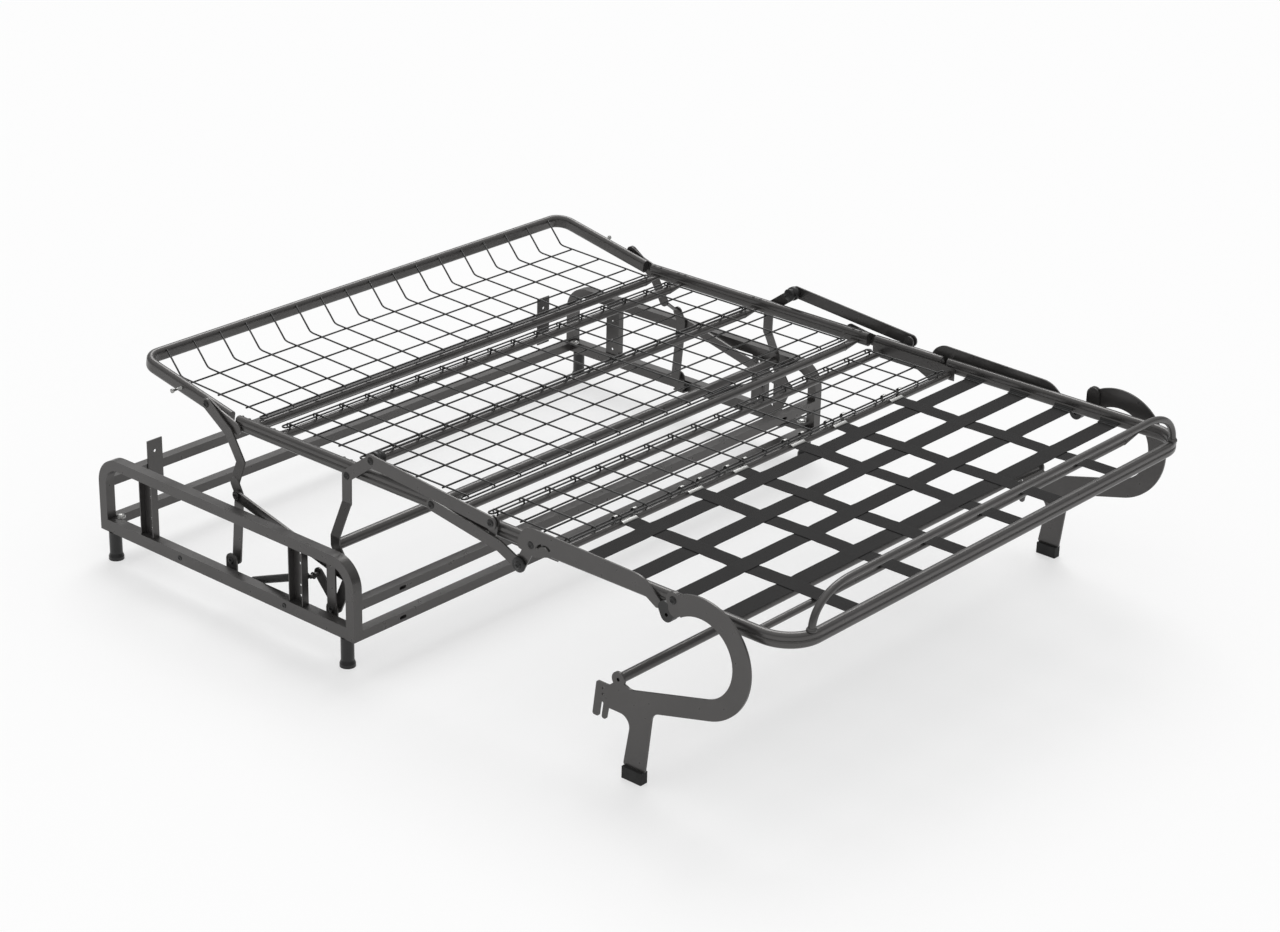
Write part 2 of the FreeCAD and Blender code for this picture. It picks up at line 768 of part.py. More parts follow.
def front_arm(name, side):
    """A cranked flat bar from the base to the bed rail, with a lever for the spring."""
    body = new_body("front_arm_" + name)
    low = start_of(side, arm_layer, thick)
    high = start_of(side, second_layer, thick)
    foot = (arm_bend[0], arm_bend[1] + size("arm_joggle_low"))
    neck = ((arm_bend[0] + seat_pivot[0]) / 2, arm_bend[1] + size("arm_joggle_high"))
    joggle(body, "joggle", side, foot, neck, arm_layer, second_layer, thick, bar_half)
    for index, (a, b) in enumerate([(foot, arm_bend), (arm_bend, brace_front), (brace_front, arm_pivot),
                                    (arm_pivot, lever)]):
        plate(body, f"lower_{index}", low, thick, add_capsule, a, b, bar_half)
    for index, (a, b) in enumerate([(neck, seat_pivot), (seat_pivot, arm_tip)]):
        plate(body, f"upper_{index}", high, thick, add_capsule, a, b, bar_half)
    reach = second_layer - rail_inner
    plate(body, "seat_pin", start_of(side, rail_inner, reach), reach, add_circle, seat_pivot, pin)
    reach = tab_layer + thick - arm_layer
    plate(body, "base_pin", start_of(side, arm_layer, reach), reach, add_circle, arm_pivot, pin)
    reach = spring_inner + size("spring_radius") * 2 - arm_layer
    plate(body, "spring_stud", start_of(side, arm_layer, reach), reach, add_circle, lever,
          size("spring_stud_radius"))
    bore(body, "tip_eye", high, thick, arm_tip, hole)
    return body


def rear_arm(name, side):
    """A flat bar from the base to the headrest, cranked and joggled near its top."""
    body = new_body("rear_arm_" + name)
    low = start_of(side, arm_layer, thick)
    high = start_of(side, second_layer, thick)
    for index, (a, b) in enumerate([(rear_pivot, brace_rear), (brace_rear, rear_neck)]):
        plate(body, f"lower_{index}", low, thick, add_capsule, a, b, bar_half)
    joggle(body, "joggle", side, rear_neck, rear_bend, arm_layer, second_layer, thick, bar_half)
    for index, (a, b) in enumerate([(rear_bend, rear_top), (rear_top, head_link)]):
        plate(body, f"upper_{index}", high, thick, add_capsule, a, b, bar_half)
    reach = tab_layer + thick - arm_layer
    plate(body, "base_pin", start_of(side, arm_layer, reach), reach, add_circle, rear_pivot, pin)
    bore(body, "brace_eye", low, thick, brace_rear, hole)
    return body


def diagonal_link(name, side):
    """A channel from the rear arm to the front arm."""
    body = new_body("diagonal_link_" + name)
    depth = size("brace_depth")
    layer = start_of(side, brace_layer, depth)
    half = size("brace_half_width")
    wall = size("brace_wall")
    plate(body, "channel", layer, depth, add_capsule, brace_rear, brace_front, half)
    hollow = new_sketch(body, "hollow_sketch", "YZ", start_of(side, brace_layer + wall, depth - wall))
    add_capsule(hollow, brace_rear, brace_front, half - wall)
    extrude(body, hollow, depth - wall, "hollow", "Pocket", True)
    reach = brace_layer + depth - arm_layer
    plate(body, "pin", start_of(side, arm_layer, reach), reach, add_circle, brace_rear, pin)
    return body


def upper_link_bar(name, side):
    body = new_body("upper_link_" + name)
    layer = start_of(side, third_layer, thick)
    plate(body, "bar", layer, thick, add_capsule, arm_tip, upper_link, link_half)
    reach = third_layer + thick - second_layer
    plate(body, "pin", start_of(side, second_layer, reach), reach, add_circle, arm_tip, pin)
    return body


def lower_link_bar(name, side):
    body = new_body("lower_link_" + name)
    layer = start_of(side, second_layer, thick)
    plate(body, "bar", layer, thick, add_capsule, lower_link, link_bend, bar_half)
    plate(body, "tail", layer, thick, add_capsule, link_bend, tail_pivot, bar_half)
    reach = second_layer + thick - rail_inner
    plate(body, "pin", start_of(side, rail_inner, reach), reach, add_circle, lower_link, pin)
    return body


for name, side in SIDES.items():
    front_arm(name, side)
    rear_arm(name, side)
tube_across("arm_cross_tube", arm_bend[0], arm_bend[1], size("arm_tube_radius"), arm_layer)
share("diagonal_links", [diagonal_link(name, side) for name, side in SIDES.items()])
share("upper_links", [upper_link_bar(name, side) for name, side in SIDES.items()])
share("lower_links", [lower_link_bar(name, side) for name, side in SIDES.items()])


# Tension springs, plain envelopes of the coils

def spring(name, side):
    body = new_body("spring_" + name)
    r = size("spring_radius")
    plate(body, "coil", start_of(side, spring_inner, r * 2), r * 2, add_capsule, spring_start, spring_end, r)
    return body


share("springs", [spring(name, side) for name, side in SIDES.items()])


# Main section

def add_rail_section(sketch, x):
    """An oval tube's section with a groove pressed along both of its flat sides."""
    groove, deep, corner = size("groove_half"), size("groove_depth"), size("rail_corner")
    bottom, top = size("bed_top") - size("rail_height"), size("bed_top")
    left, right = x - rail_half, x + rail_half
    add_outline(sketch, [(left, bottom, corner), (right, bottom, corner),
                         (right, rail_middle - groove, 0.0), (right - deep, rail_middle, 0.0),
                         (right, rail_middle + groove, 0.0), (right, top, corner), (left, top, corner),
                         (left, rail_middle + groove, 0.0), (left + deep, rail_middle, 0.0),
                         (left, rail_middle - groove, 0.0)])


def rail(body, name, side, rear, front):
    """An oval tube along the bed."""
    sketch = new_sketch(body, name + "_section", "XZ", rear)
    add_rail_section(sketch, half_span * side)
    return extrude(body, sketch, rear - front, name)


def main_rail(name, side):
    body = new_body("main_rail_" + name)
    rail(body, "tube", side, main_head, main_end)
    plate(body, "hinge_pad", start_of(side, rail_outer, gap), gap, add_capsule,
          (main_end + size("hinge_seat"), rail_middle), (main_end + bar_half, rail_middle), pin * 2)
    plate(body, "hinge_plate", start_of(side, first_layer, thick), thick, add_capsule,
          (main_end + size("hinge_seat"), rail_middle), short_hinge, bar_half)
    depth = rail_outer + gap + thick - rail_inner
    start = start_of(side, rail_inner, depth)
    for label, center in (("seat_eye", seat_pivot), ("link_eye", lower_link), ("head_eye", head_hinge),
                          ("short_eye", short_hinge)):
        bore(body, label, start, depth, center, hole)
    return body


def lattice(label, rear, front, level, rows, columns, pitch):
    """A welded wire mesh: square wires with open windows between them."""
    body = new_body(label)
    half_width = pitch * (columns / 2)
    block(body, "sheet", (-half_width - wire / 2, front, level), (half_width + wire / 2, rear, level + wire))
    row_pitch = (rear - front - wire) / rows
    sketch = new_sketch(body, "window", "XY", level + wire)
    add_polygon(sketch, [(-half_width + wire / 2, front + wire),
                         (-half_width + pitch - wire / 2, front + wire),
                         (-half_width + pitch - wire / 2, front + row_pitch),
                         (-half_width + wire / 2, front + row_pitch)])
    window = extrude(body, sketch, wire, "opening", "Pocket")
    transform = body.newObject("PartDesign::MultiTransform", "windows")
    transform.Originals = [window]
    patterns = []
    for name, axis, count, step in (("across", "H_Axis", columns, pitch), ("along", "V_Axis", rows, row_pitch)):
        pattern = body.newObject("PartDesign::LinearPattern", name)
        pattern.Direction = (sketch, [axis])
        pattern.Mode = "Spacing"
        bind(pattern, "Offset", step)
        pattern.Occurrences = count
        patterns.append(pattern)
    transform.Transformations = patterns
    body.Tip = transform
    return body


MAIN_ROWS = 7
HEAD_ROWS = 3
HEAD_REAR_ROWS = 1
SHORT_ROWS = 3
for name, side in SIDES.items():
    main_rail(name, side)
bar_z = size("bed_top") - size("bar_drop")
share("main_crossbars", [flat_ended_tube(f"main_crossbar_{name}", size("bar_" + name), bar_z, size("bar_radius"),
                                         rail_low_center) for name in ("head", "rear", "middle", "front")])
mesh_level = bar_z + size("bar_radius") + size("strap_gap")
lattice("main_mesh", size("bar_rear"), size("bar_front"), mesh_level, MAIN_ROWS, MESH_COLUMNS, mesh_pitch)


# Headrest

def headrest_frame():
    """A bent oval tube, flat in its own plane and tilted about its hinge."""
    body = new_body("headrest_frame")
    start, end = size("head_start"), size("head_length")
    x, z = half_span, size("head_offset")
    reach = size("rail_height") / 2 - rail_half
    points = [(-x, start), (-x, end), (x, end), (x, start)]
    bent_tube(body, "hoop", "XY", z, points, size("head_corner"), "XZ", start, add_capsule,
              (-x, z - reach), (-x, z + reach), rail_half)
    return body


def headrest_hinge(name, side):
    """A plate from the headrest tube to the hinge, with its pin."""
    body = new_body("headrest_hinge_" + name)
    x = start_of(side, first_layer, thick)
    hinge = (dim(0.0), dim(0.0))
    seat = (size("head_plate_end"), size("head_offset"))
    turn = math.radians(SIZES["head_tilt"])
    along, rise = head_link[0] - head_hinge[0], head_link[1] - head_hinge[1]
    link_eye = (along * math.cos(turn) + rise * math.sin(turn), rise * math.cos(turn) - along * math.sin(turn))
    plate(body, "plate", x, thick, add_capsule, hinge, seat, bar_half)
    plate(body, "ear", x, thick, add_capsule, seat, link_eye, bar_half)
    plate(body, "pad", start_of(side, rail_outer, gap), gap, add_circle, seat, pin * 2)
    reach = rail_outer - rail_inner
    plate(body, "pin", start_of(side, rail_inner + gap, reach), reach, add_circle, hinge, pin)
    bore(body, "link_eye", x, thick, link_eye, hole)
    return body


def turned(point, degrees):
    """A point of the side view carried round its origin."""
    turn = math.radians(degrees)
    y, z = dim(point[0]), dim(point[1])
    return y * math.cos(turn) - z * math.sin(turn), y * math.sin(turn) + z * math.cos(turn)


def tilt(body, seat=(0.0, 0.0), extra=0.0):
    """Lay a piece in the headrest's plane, from a seat in that plane and turned further by an angle."""
    angle = SIZES["head_tilt"] + dim(extra).value
    y, z = turned(seat, SIZES["head_tilt"])
    body.Placement = Placement(Vector(0, 0, 0), Rotation(Vector(1, 0, 0), angle))
    bind(body, "Placement.Rotation.Angle", size("head_tilt") + extra)
    bind(body, "Placement.Base.y", head_hinge[0] + y)
    bind(body, "Placement.Base.z", head_hinge[1] + z)
    return body


def reached(point, along, up, degrees):
    """A point further on along a line that rises by an angle, and off it by a distance."""
    step = turned((along, up), degrees)
    return point[0] + step[0], point[1] + step[1]


tilt(headrest_frame())
share("headrest_hinges", [tilt(headrest_hinge(name, side)) for name, side in SIDES.items()])
head_bar = (size("head_bar_along"), size("head_offset") + size("head_bar_rise"))
tilt(tube_across("headrest_lower_bar", head_bar[0], head_bar[1], size("head_bar_radius"), rail_inner))
dip, rise = -size("head_mesh_dip"), size("head_mesh_rise")
mesh_seat = reached(head_bar, -size("head_mesh_lap"), size("head_bar_radius") + size("strap_gap"), dip.value)
mesh_knee = reached(mesh_seat, size("head_mesh_length"), 0.0, dip.value)
tilt(lattice("headrest_mesh", size("head_mesh_length"), dim(0.0), dim(0.0), HEAD_ROWS, MESH_COLUMNS, mesh_pitch),
     mesh_seat, dip)
mesh_rest = size("head_length") - rail_half + size("head_mesh_gap") / 2 - mesh_knee[0]
mesh_end = mesh_rest / math.cos(math.radians(rise.value))
tilt(lattice("headrest_mesh_rear", mesh_end, size("head_mesh_gap"), dim(0.0), HEAD_REAR_ROWS, MESH_COLUMNS,
             mesh_pitch), mesh_knee, rise)


# Short section

def short_rail(name, side):
    body = new_body("short_rail_" + name)
    rail(body, "tube", side, short_start, short_end)
    web = size("web_thickness")
    low, high = rail_middle - size("web_drop"), rail_middle + size("web_rise")
    front = size("short_bar_front") - size("web_margin")
    plate(body, "web_pad", start_of(side, rail_inner - gap, gap), gap, add_polygon,
          [(short_start - gap, high), (short_start - gap, low), (short_end + gap, low), (short_end + gap, high)])
    plate(body, "web", start_of(side, rail_inner - gap - web, web), web, add_polygon,
          [(short_start - gap, high), (short_start - gap, low), (front, low), (front, rail_middle),
           (short_end, high)])
    reach = gap + thick
    plate(body, "pin", start_of(side, rail_outer, reach), reach, add_circle, short_hinge, pin)
    plate(body, "ear", start_of(side, first_layer, thick), thick, add_capsule,
          (upper_link[0] + size("ear_shift"), rail_middle), upper_link, size("ear_half_width"))
    plate(body, "ear_pad", start_of(side, rail_outer, gap), gap, add_circle,
          (upper_link[0] + size("ear_shift"), rail_middle), size("pad_radius"))
    depth = rail_outer - web_inner
    bore(body, "foot_eye", start_of(side, web_inner, depth), depth, foot_hinge, hole)
    return body


for name, side in SIDES.items():
    short_rail(name, side)
short_bar_z = rail_middle - size("short_bar_drop")
share("short_crossbars", [tube_across(f"short_crossbar_{name}", size("short_bar_" + name), short_bar_z,
                                      size("short_bar_radius"), web_inner) for name in ("rear", "front")])
short_mesh_level = short_bar_z + size("short_bar_radius") + size("strap_gap")
lattice("short_mesh", size("short_bar_rear"), size("short_bar_front"), short_mesh_level, SHORT_ROWS,
        MESH_COLUMNS, mesh_pitch)


# Foot section

def foot_frame():
    body = new_body("foot_frame")
    end = size("foot_end")
    points = [(-half_span, foot_start), (-half_span, end), (half_span, end), (half_span, foot_start)]
    bent_tube(body, "hoop", "XY", rail_middle, points, size("foot_corner"), "XZ", foot_start, add_rail_section,
              -half_span)
    return body


def foot_plate(name, side):
    """A long plate outside the foot rail: round head with a curved slot, tail for the lower link, slim tip."""
    body = new_body("foot_plate_" + name)
    x = start_of(side, first_layer, thick)
    y, z = foot_hinge
    head, rise, edge = size("plate_head"), size("plate_rise"), size("plate_edge")
    shoulder, tip = size("plate_shoulder"), size("plate_tip")
    plate(body, "bar", x, thick, add_outline,
          [(y + head, z - edge * 2, edge), (y + head, z + rise, size("plate_head_bend")),
           (y - shoulder, z + rise - edge, size("plate_tip_bend")), (y - tip, z - edge, edge),
           (y - tip + edge, z - edge * 3.5, edge), (y - shoulder - edge, z - edge, edge * 3),
           (y - size("plate_pad_first"), z - edge, edge), (y - bar_half, z - edge * 3, edge)])
    plate(body, "tail", x, thick, add_capsule, foot_hinge, tail_pivot, bar_half)
    slot = (y - size("slot_offset_y"), z - size("slot_offset_z"))
    sketch = new_sketch(body, "slot_sketch", "YZ", x)
    add_hook(sketch, slot, size("slot_outer"), size("slot_inner"), 25.0, 135.0)
    extrude(body, sketch, thick, "slot", "Pocket", True)
    reach = first_layer - web_inner
    plate(body, "pin", start_of(side, web_inner, reach), reach, add_circle, foot_hinge, pin)
    for index in range(PLATE_PADS):
        along = size("plate_pad_first") + size("plate_pad_pitch") * index
        plate(body, f"pad_{index}", start_of(side, rail_outer, gap), gap, add_circle, (y - along, rail_middle),
              size("pad_radius"))
    return body


def leg_bracket(name, side):
    """A bent bracket on the foot rail that carries the leg plate's pivot."""
    body = new_body("leg_bracket_" + name)
    y, z = leg_pivot
    outer = leg_layer - gap
    depth = outer - rail_outer
    half = size("bracket_half")
    web = start_of(side, rail_outer, depth)
    block(body, "web", (web, y - half, rail_middle - size("bracket_web_drop")),
          (web + depth, y + half, rail_middle + size("bracket_web_rise")))
    ear = start_of(side, outer - thick, thick)
    plate(body, "ear", ear, thick, add_capsule, (y, rail_middle + size("bracket_web_rise")), leg_pivot,
          size("bracket_ear"))
    bore(body, "eye", ear, thick, leg_pivot, hole)
    return body


def bumper(name, side):
    """A rounded block under the rail at the tip of the foot plate that stops the leg plate."""
    body = new_body("bumper_" + name)
    deep = size("bumper_depth")
    x = start_of(side, rail_outer, deep)
    upper = (foot_hinge[0] - size("plate_tip") - size("bumper_gap"), size("bed_top") - size("bumper_drop"))
    lower = (upper[0] - size("bumper_slant"), upper[1] - size("bumper_length"))
    plate(body, "block", x, deep, add_capsule, upper, lower, size("bumper_radius"))
    bore(body, "hole", x, deep, lower, size("bumper_hole"))
    return body


PLATE_PADS = 3
foot_frame()
share("foot_plates", [foot_plate(name, side) for name, side in SIDES.items()])
share("leg_brackets", [leg_bracket(name, side) for name, side in SIDES.items()])
share("bumpers", [bumper(name, side) for name, side in SIDES.items()])
strap_level = size("bed_top") - size("strap_drop")
strap_half = size("strap_width") / 2
strap_top = strap_level + size("strap_thickness")
foot_bar_z = strap_level - size("strap_gap") - size("foot_bar_radius")
foot_bar_end = size("bed_top") - size("rail_height") + size("rail_corner") - size("bar_end_thickness")
flat_ended_tube("foot_crossbars", size("foot_bar"), foot_bar_z, size("foot_bar_radius"),
                foot_bar_end - size("strap_gap"))


def cross_strap(index):
    """A webbing band hooked between the rails."""
    body = new_body(f"cross_strap_{index}")
    y = size("strap_first") - size("strap_pitch") * index
    reach = rail_inner - size("strap_gap")
    block(body, "band", (-reach, y - strap_half, strap_level), (reach, y + strap_half, strap_top))
    return body


def long_strap(name, x):
    """A webbing band hooked on the foot rail."""
    body = new_body("long_strap_" + name)
    level = strap_top + size("strap_gap")
    block(body, "band", (x - strap_half, size("foot_end") + rail_half + size("strap_gap"), level),
          (x + strap_half, size("short_bar_front") - size("short_bar_radius") - size("long_strap_start"),
           level + size("strap_thickness")))
    return body


CROSS_STRAPS = 4
share("cross_straps", [cross_strap(index) for index in range(CROSS_STRAPS)])
share("long_straps", [long_strap(f"{row}_{name}", size("long_strap_" + row) * side)
                      for row in ("inner", "middle", "outer") for name, side in SIDES.items()])


def mattress_hoop():
    """A bent round tube that stands on the foot rail and keeps the mattress in place."""
    body = new_body("mattress_hoop")
    bottom = size("bed_top") + size("strap_gap")
    top = size("bed_top") + size("hoop_height")
    foot = half_span - size("hoop_inset")
    shoulder = foot - size("hoop_slope")
    stub = bottom + size("hoop_stub")
    y = size("foot_end")
    points = [(-foot, bottom), (-foot, stub), (-shoulder, top), (shoulder, top), (foot, stub), (foot, bottom)]
    bent_tube(body, "hoop", "XZ", y, points, size("hoop_bend"), "XY", bottom, add_circle, (-foot, y),
              size("hoop_radius"))
    return body


mattress_hoop()


# Folding legs under the foot section
ROOT_ANGLE = 8.0
TONGUE_HOLES = 2

def leg_plate(name, side):
    """A hook plate: pivot head, round hook, sloping arm, leg and forked tongue."""
    body = new_body("leg_plate_" + name)
    deep = size("leg_thickness")
    x = start_of(side, leg_layer, deep)
    center = pivot("hook_center")
    hook_tube = pivot("hook_tube")
    outer, inner = size("hook_outer"), size("hook_inner")
    slope = math.radians(-SIZES["hook_slope"])
    foot_angle = 270.0 - SIZES["hook_slope"]
    head_angle = math.degrees(math.atan2((leg_pivot[1] - center[1]).value, (leg_pivot[0] - center[0]).value))
    plate(body, "hook", x, deep, add_hook, center, outer, inner, head_angle, foot_angle)
    plate(body, "head", x, deep, add_circle, leg_pivot, size("hook_head"))
    down = Vector(math.sin(slope), -math.cos(slope), 0)
    low_start = (center[0] + outer * down.x, center[1] + outer * down.y)
    high_start = (center[0] + inner * down.x, center[1] + inner * down.y)
    root = (center[0] + (outer + inner) / 2 * math.cos(math.radians(foot_angle - ROOT_ANGLE)),
            center[1] + (outer + inner) / 2 * math.sin(math.radians(foot_angle - ROOT_ANGLE)))
    foot_y, foot_z, half = size("leg_foot_y"), size("leg_foot_height"), size("leg_foot_half")
    knee_y = foot_y - size("leg_neck")
    knee = (knee_y, low_start[1] + (knee_y - low_start[0]) * math.tan(slope))
    boss = size("hook_boss")
    crown_y = hook_tube[0] - boss * 2
    crown = (crown_y, high_start[1] + (crown_y - high_start[0]) * math.tan(slope))
    edge, bend = size("leg_edge"), size("leg_bend")
    low = hook_tube[1] - size("tongue_drop")
    tip = hook_tube[1] - size("fork_drop")
    right = hook_tube[0] + size("tongue_reach")
    prong, opening = size("fork_width"), size("fork_gap")
    shoulder = hook_tube[1] - boss - edge
    plate(body, "arm", x, deep, add_outline,
          [(*low_start, 0.0), (*knee, bend), (foot_y - half, foot_z, edge), (foot_y + half, foot_z, edge),
           (foot_y + edge * 2, low, bend), (right - prong * 2 - opening, low, edge),
           (right - prong * 2 - opening + edge, tip, edge), (right - prong - opening + edge, tip, edge),
           (right - prong - opening, low + opening, opening / 3), (right - prong, low + opening, opening / 3),
           (right - prong + edge, tip, edge), (right + edge * 2, tip, edge), (right, shoulder, edge),
           (hook_tube[0] + boss * 1.5, shoulder, edge), (*hook_tube, 0.0), (*crown, bend), (*high_start, 0.0), (*root, 0.0)])
    plate(body, "boss", x, deep, add_circle, hook_tube, boss)
    bore(body, "boss_hole", x, deep, hook_tube, size("tube_screw"))
    for index in range(TONGUE_HOLES):
        z = shoulder - prong - size("tongue_hole_pitch") * index
        bore(body, f"tongue_hole_{index}", x, deep, (right - prong * 1.5, z), size("tongue_hole"))
    reach = gap + thick
    plate(body, "pin", start_of(side, leg_layer - reach, reach), reach, add_circle, leg_pivot, pin)
    return body


def leg_foot(name, side):
    """A rubber foot under the leg plate."""
    body = new_body("leg_foot_" + name)
    x = (leg_layer + size("leg_thickness") / 2) * side
    y = size("leg_foot_y")
    wide, long = size("leg_foot_width") / 2, size("leg_foot_length") / 2
    block(body, "pad", (x - wide, y - long, dim(0.0)), (x + wide, y + long, size("leg_foot_height")))
    return body


for name, side in SIDES.items():
    leg_plate(name, side)
tube_across("leg_cross_tube", *pivot("hook_tube"), size("hook_tube_radius"), leg_layer)
share("leg_feet", [leg_foot(name, side) for name, side in SIDES.items()])


# Check the document, then write one file for each sub-part

doc.recompute()
faults = [item.Name for item in doc.Objects if "Invalid" in item.State or "Error" in item.State]
if faults:
    raise RuntimeError("These objects failed: " + ", ".join(faults))

grouped = {link.Name for item in doc.Objects if item.isDerivedFrom("Part::Compound") for link in item.Links}
nodes = [item for item in doc.Objects
         if item.TypeId in ("PartDesign::Body", "Part::Compound") and item.Name not in grouped]
for node in nodes:
    if node.Shape.isNull() or not node.Shape.isValid():
        raise RuntimeError("No valid shape: " + node.Label)
for body in doc.findObjects("PartDesign::Body"):
    if len(body.Shape.Solids) != 1:
        raise RuntimeError("Came apart: " + body.Label)

os.makedirs("parts", exist_ok=True)
for node in nodes:
    node.Shape.exportStep(os.path.join("parts", node.Label + ".step"))
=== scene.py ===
import json
import math

import bmesh
import bpy
import numpy as np
from mathutils import Matrix, Vector


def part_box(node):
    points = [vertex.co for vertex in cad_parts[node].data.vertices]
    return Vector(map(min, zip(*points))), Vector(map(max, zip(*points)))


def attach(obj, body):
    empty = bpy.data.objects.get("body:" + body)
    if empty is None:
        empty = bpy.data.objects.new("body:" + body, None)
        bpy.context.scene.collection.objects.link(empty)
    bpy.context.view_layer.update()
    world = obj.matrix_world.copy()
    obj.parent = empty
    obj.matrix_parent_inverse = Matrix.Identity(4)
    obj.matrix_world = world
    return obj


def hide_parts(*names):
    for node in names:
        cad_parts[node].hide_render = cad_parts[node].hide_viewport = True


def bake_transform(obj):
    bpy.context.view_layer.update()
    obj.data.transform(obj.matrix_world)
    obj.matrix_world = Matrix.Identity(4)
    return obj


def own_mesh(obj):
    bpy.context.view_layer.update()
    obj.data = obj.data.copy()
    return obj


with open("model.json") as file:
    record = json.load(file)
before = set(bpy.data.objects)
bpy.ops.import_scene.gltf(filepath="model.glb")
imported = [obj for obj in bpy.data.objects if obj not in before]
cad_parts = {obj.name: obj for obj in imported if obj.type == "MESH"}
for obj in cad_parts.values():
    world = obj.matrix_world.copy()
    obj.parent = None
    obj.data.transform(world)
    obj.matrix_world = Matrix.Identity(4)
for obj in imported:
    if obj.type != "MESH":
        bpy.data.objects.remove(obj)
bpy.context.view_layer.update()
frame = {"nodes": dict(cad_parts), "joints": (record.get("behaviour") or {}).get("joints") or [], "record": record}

# Sizes in metres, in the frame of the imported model: +X across the bed, +Y to the head end, +Z up

PIVOT = {joint["name"]: np.array(joint["pos_m"]) for joint in frame["joints"]}
SIDES = (-1.0, 1.0)
RAIL_X = 0.700
RAIL_HALF = 0.010
RAIL_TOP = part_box("foot_frame")[1][2]
WIRE_R = 0.0021
ROD_R = 0.0021
ROD_GAP = 0.0070
ROD_PAST_WIRES = 0.006
STEM_SINK = 0.001
WIRE_X = np.linspace(-0.640, 0.640, 17)
HEAD_BAR = 0.588
MAIN_BARS = (0.507, 0.262, -0.051)
MAIN_BAR_R = 0.010
MAIN_BAR_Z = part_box("main_crossbars")[0][2] + MAIN_BAR_R
SHORT_BARS = (-0.132, -0.334)
SHORT_BAR_R = 0.008
SHORT_BAR_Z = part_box("short_crossbars")[0][2] + SHORT_BAR_R
FOOT_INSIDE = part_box("foot_frame")[0][1] + 2.0 * RAIL_HALF
STRAP_HALF = 0.023
STRAP_THICK = 0.0014
STRAP_Z = 0.4002
STRAP_LIFT = 0.0010
STRAP_GAP = 0.0005
STRAP_REACH = RAIL_X - RAIL_HALF - STRAP_GAP
CROSS_STRAPS = (-0.406, -0.530, -0.654, -0.778)
LONG_STRAPS = (-0.464, -0.252, -0.100, 0.100, 0.252, 0.464)


# Surfaces from arrays

def unit(vectors):
    """Every row divided by its own length."""
    return vectors / np.linalg.norm(vectors, axis=-1, keepdims=True)


def tangents(path):
    """Direction along a path: the difference of its neighbours, made unit length."""
    return unit(np.gradient(path, axis=0))


def sweep(path, profile, across, ends=True):
    """Grid of a profile carried along a path.

    At each path point, side is the part of `across` square to the tangent and rise is side x tangent.
    The surface is path + profile.a * side + profile.b * rise. With `ends` set, one more ring at each end
    shrinks to the path's own point, which closes the tube.
    """
    path = np.asarray(path, float)
    along = tangents(path)
    across = np.broadcast_to(np.asarray(across, float), path.shape)
    side = unit(across - along * np.sum(across * along, axis=1, keepdims=True))
    rise = np.cross(side, along)
    rings = (path[:, None, :] + profile[None, :, 0:1] * side[:, None, :]
             + profile[None, :, 1:2] * rise[:, None, :])
    if ends:
        first = np.broadcast_to(path[0], rings[:1].shape)
        last = np.broadcast_to(path[-1], rings[:1].shape)
        rings = np.concatenate([first, rings, last])
    return rings


def ring(radius, sides):
    """Circle as a closed profile: radius times (cos t, sin t)."""
    t = np.linspace(0.0, 2.0 * np.pi, sides, endpoint=False)
    return radius * np.stack([np.cos(t), np.sin(t)], axis=1)


BAND_POINTS = 24


def band(half_width, half_thick):
    """Flat strip section with soft edges: a = w |cos t|^0.25 and b = h |sin t|^0.6, with the signs kept."""
    t = np.linspace(0.0, 2.0 * np.pi, BAND_POINTS, endpoint=False)
    a = np.sign(np.cos(t)) * np.abs(np.cos(t)) ** 0.25 * half_width
    b = np.sign(np.sin(t)) * np.abs(np.sin(t)) ** 0.6 * half_thick
    return np.stack([a, b], axis=1)


def turned(profile, centre, axis, sides=20):
    """Surface of revolution: profile (distance along the axis, radius) turned about `axis` at `centre`."""
    axis = np.asarray(axis, float)
    helper = np.array([0.0, 0.0, 1.0]) if abs(axis[2]) < 0.9 else np.array([0.0, 1.0, 0.0])
    first = unit(np.cross(axis, helper))
    second = np.cross(axis, first)
    t = np.linspace(0.0, 2.0 * np.pi, sides, endpoint=False)
    spoke = np.cos(t)[:, None] * first + np.sin(t)[:, None] * second
    profile = np.asarray(profile, float)
    return (np.asarray(centre, float) + profile[:, None, 0:1] * axis
            + profile[:, None, 1:2] * spoke[None, :, :])


